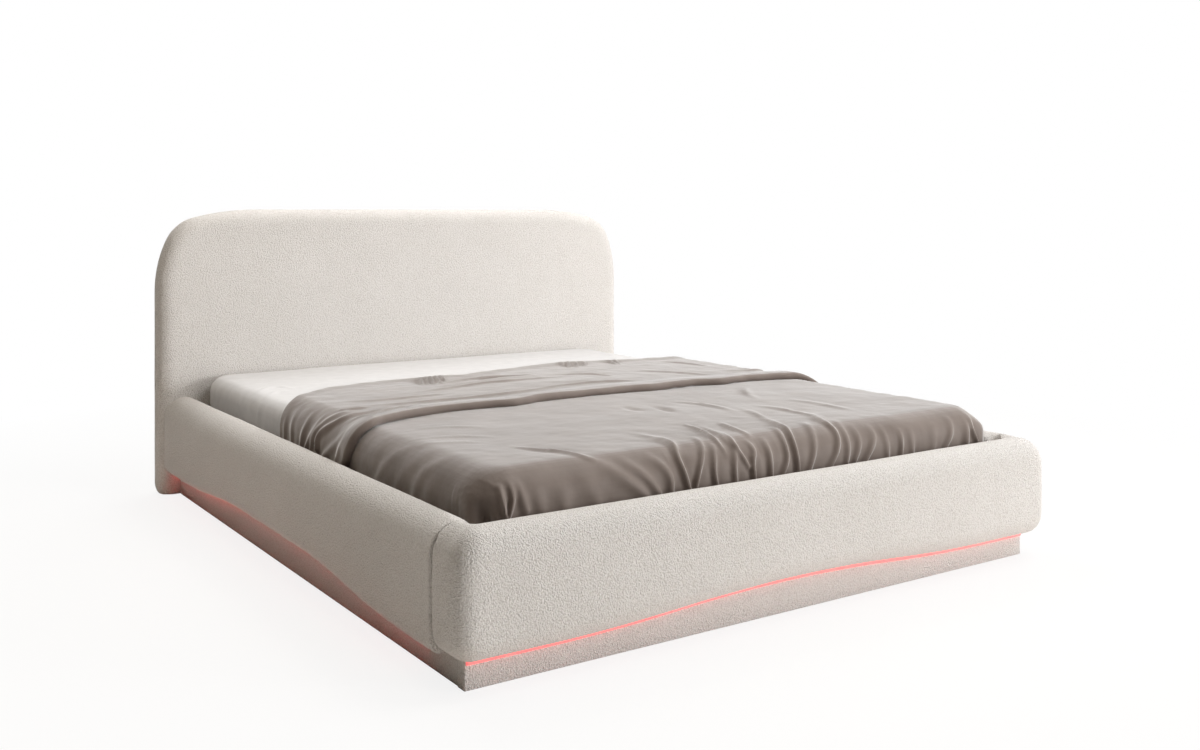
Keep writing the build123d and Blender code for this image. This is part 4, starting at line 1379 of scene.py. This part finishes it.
def make_surround():
    """A warm, even fill for the shadows that looks pure white behind the bed."""
    world = bpy.data.worlds.new("surround")
    world.use_nodes = True
    tree = world.node_tree
    ray = tree.nodes.new("ShaderNodeLightPath").outputs
    seen = maths(tree, "ADD", ray["Is Camera Ray"], ray["Is Glossy Ray"])
    seen = maths(tree, "ADD", seen, ray["Is Transmission Ray"])
    fill = tree.nodes["Background"]
    fill.inputs["Color"].default_value = (*fill_colour, 1)
    fill.inputs["Strength"].default_value = fill_strength
    white = add_node(tree, "ShaderNodeBackground", {"Color": (*plain_white, 1), "Strength": 1.0})
    blend = add_node(tree, "ShaderNodeMixShader", {0: seen, 1: fill.outputs[0], 2: white.outputs[0]})
    tree.links.new(blend.outputs[0], tree.nodes["World Output"].inputs["Surface"])
    bpy.context.scene.world = world


def make_floor():
    """A pale floor that keeps the bed's shadow near it and fades to white further out."""
    clear_selection()
    bpy.ops.mesh.primitive_plane_add(size=floor_size, location=(0, 0, 0))
    floor = bpy.context.object
    floor.name = "floor"
    material, tree, place = new_material("floor_pale")
    shader = tree.nodes["Principled BSDF"]
    shader.inputs["Base Color"].default_value = (*floor_colour, 1)
    shader.inputs["Roughness"].default_value = 0.9
    glow = add_node(tree, "ShaderNodeEmission", {"Color": (*plain_white, 1), "Strength": 1.0})
    ray = tree.nodes.new("ShaderNodeLightPath").outputs
    away = add_node(tree, "ShaderNodeVectorMath", {0: place}, operation="LENGTH").outputs["Value"]
    fade = add_node(tree, "ShaderNodeMapRange", {
        "Value": away, "From Min": fade_from, "From Max": fade_to, "To Min": fade_least, "To Max": 1.0})
    share = maths(tree, "MULTIPLY", ray["Is Camera Ray"], fade.outputs["Result"])
    blend = add_node(tree, "ShaderNodeMixShader", {0: share, 1: shader.outputs[0], 2: glow.outputs[0]})
    tree.links.new(blend.outputs[0], tree.nodes["Material Output"].inputs["Surface"])
    dress(floor, material)


def add_lamp(name, place, size, power, colour=plain_white):
    """A square soft lamp that faces the bed's middle."""
    clear_selection()
    bpy.ops.object.light_add(type="AREA", location=place)
    lamp = bpy.context.object
    lamp.name = name
    lamp.data.size = size
    lamp.data.energy = power
    lamp.data.color = colour
    lamp.rotation_euler = (lamp_aim - Vector(place)).to_track_quat("-Z", "Y").to_euler()


make_surround()
make_floor()
add_lamp("front_lamp", (3.0, -3.2, 2.2), size=1.8, power=26)
add_lamp("far_lamp", (6.0, -8.0, 1.6), size=2.4, power=520)
add_lamp("high_lamp", (1.4, -1.8, 3.8), size=1.8, power=79)
add_lamp("right_lamp", (3.0, 0.0, 3.0), size=1.8, power=44)
add_lamp("back_lamp", (0.0, 2.2, 3.6), size=2.5, power=92)
add_lamp("left_lamp", (-1.6, 0.0, 3.8), size=2.5, power=40, colour=warm_white)
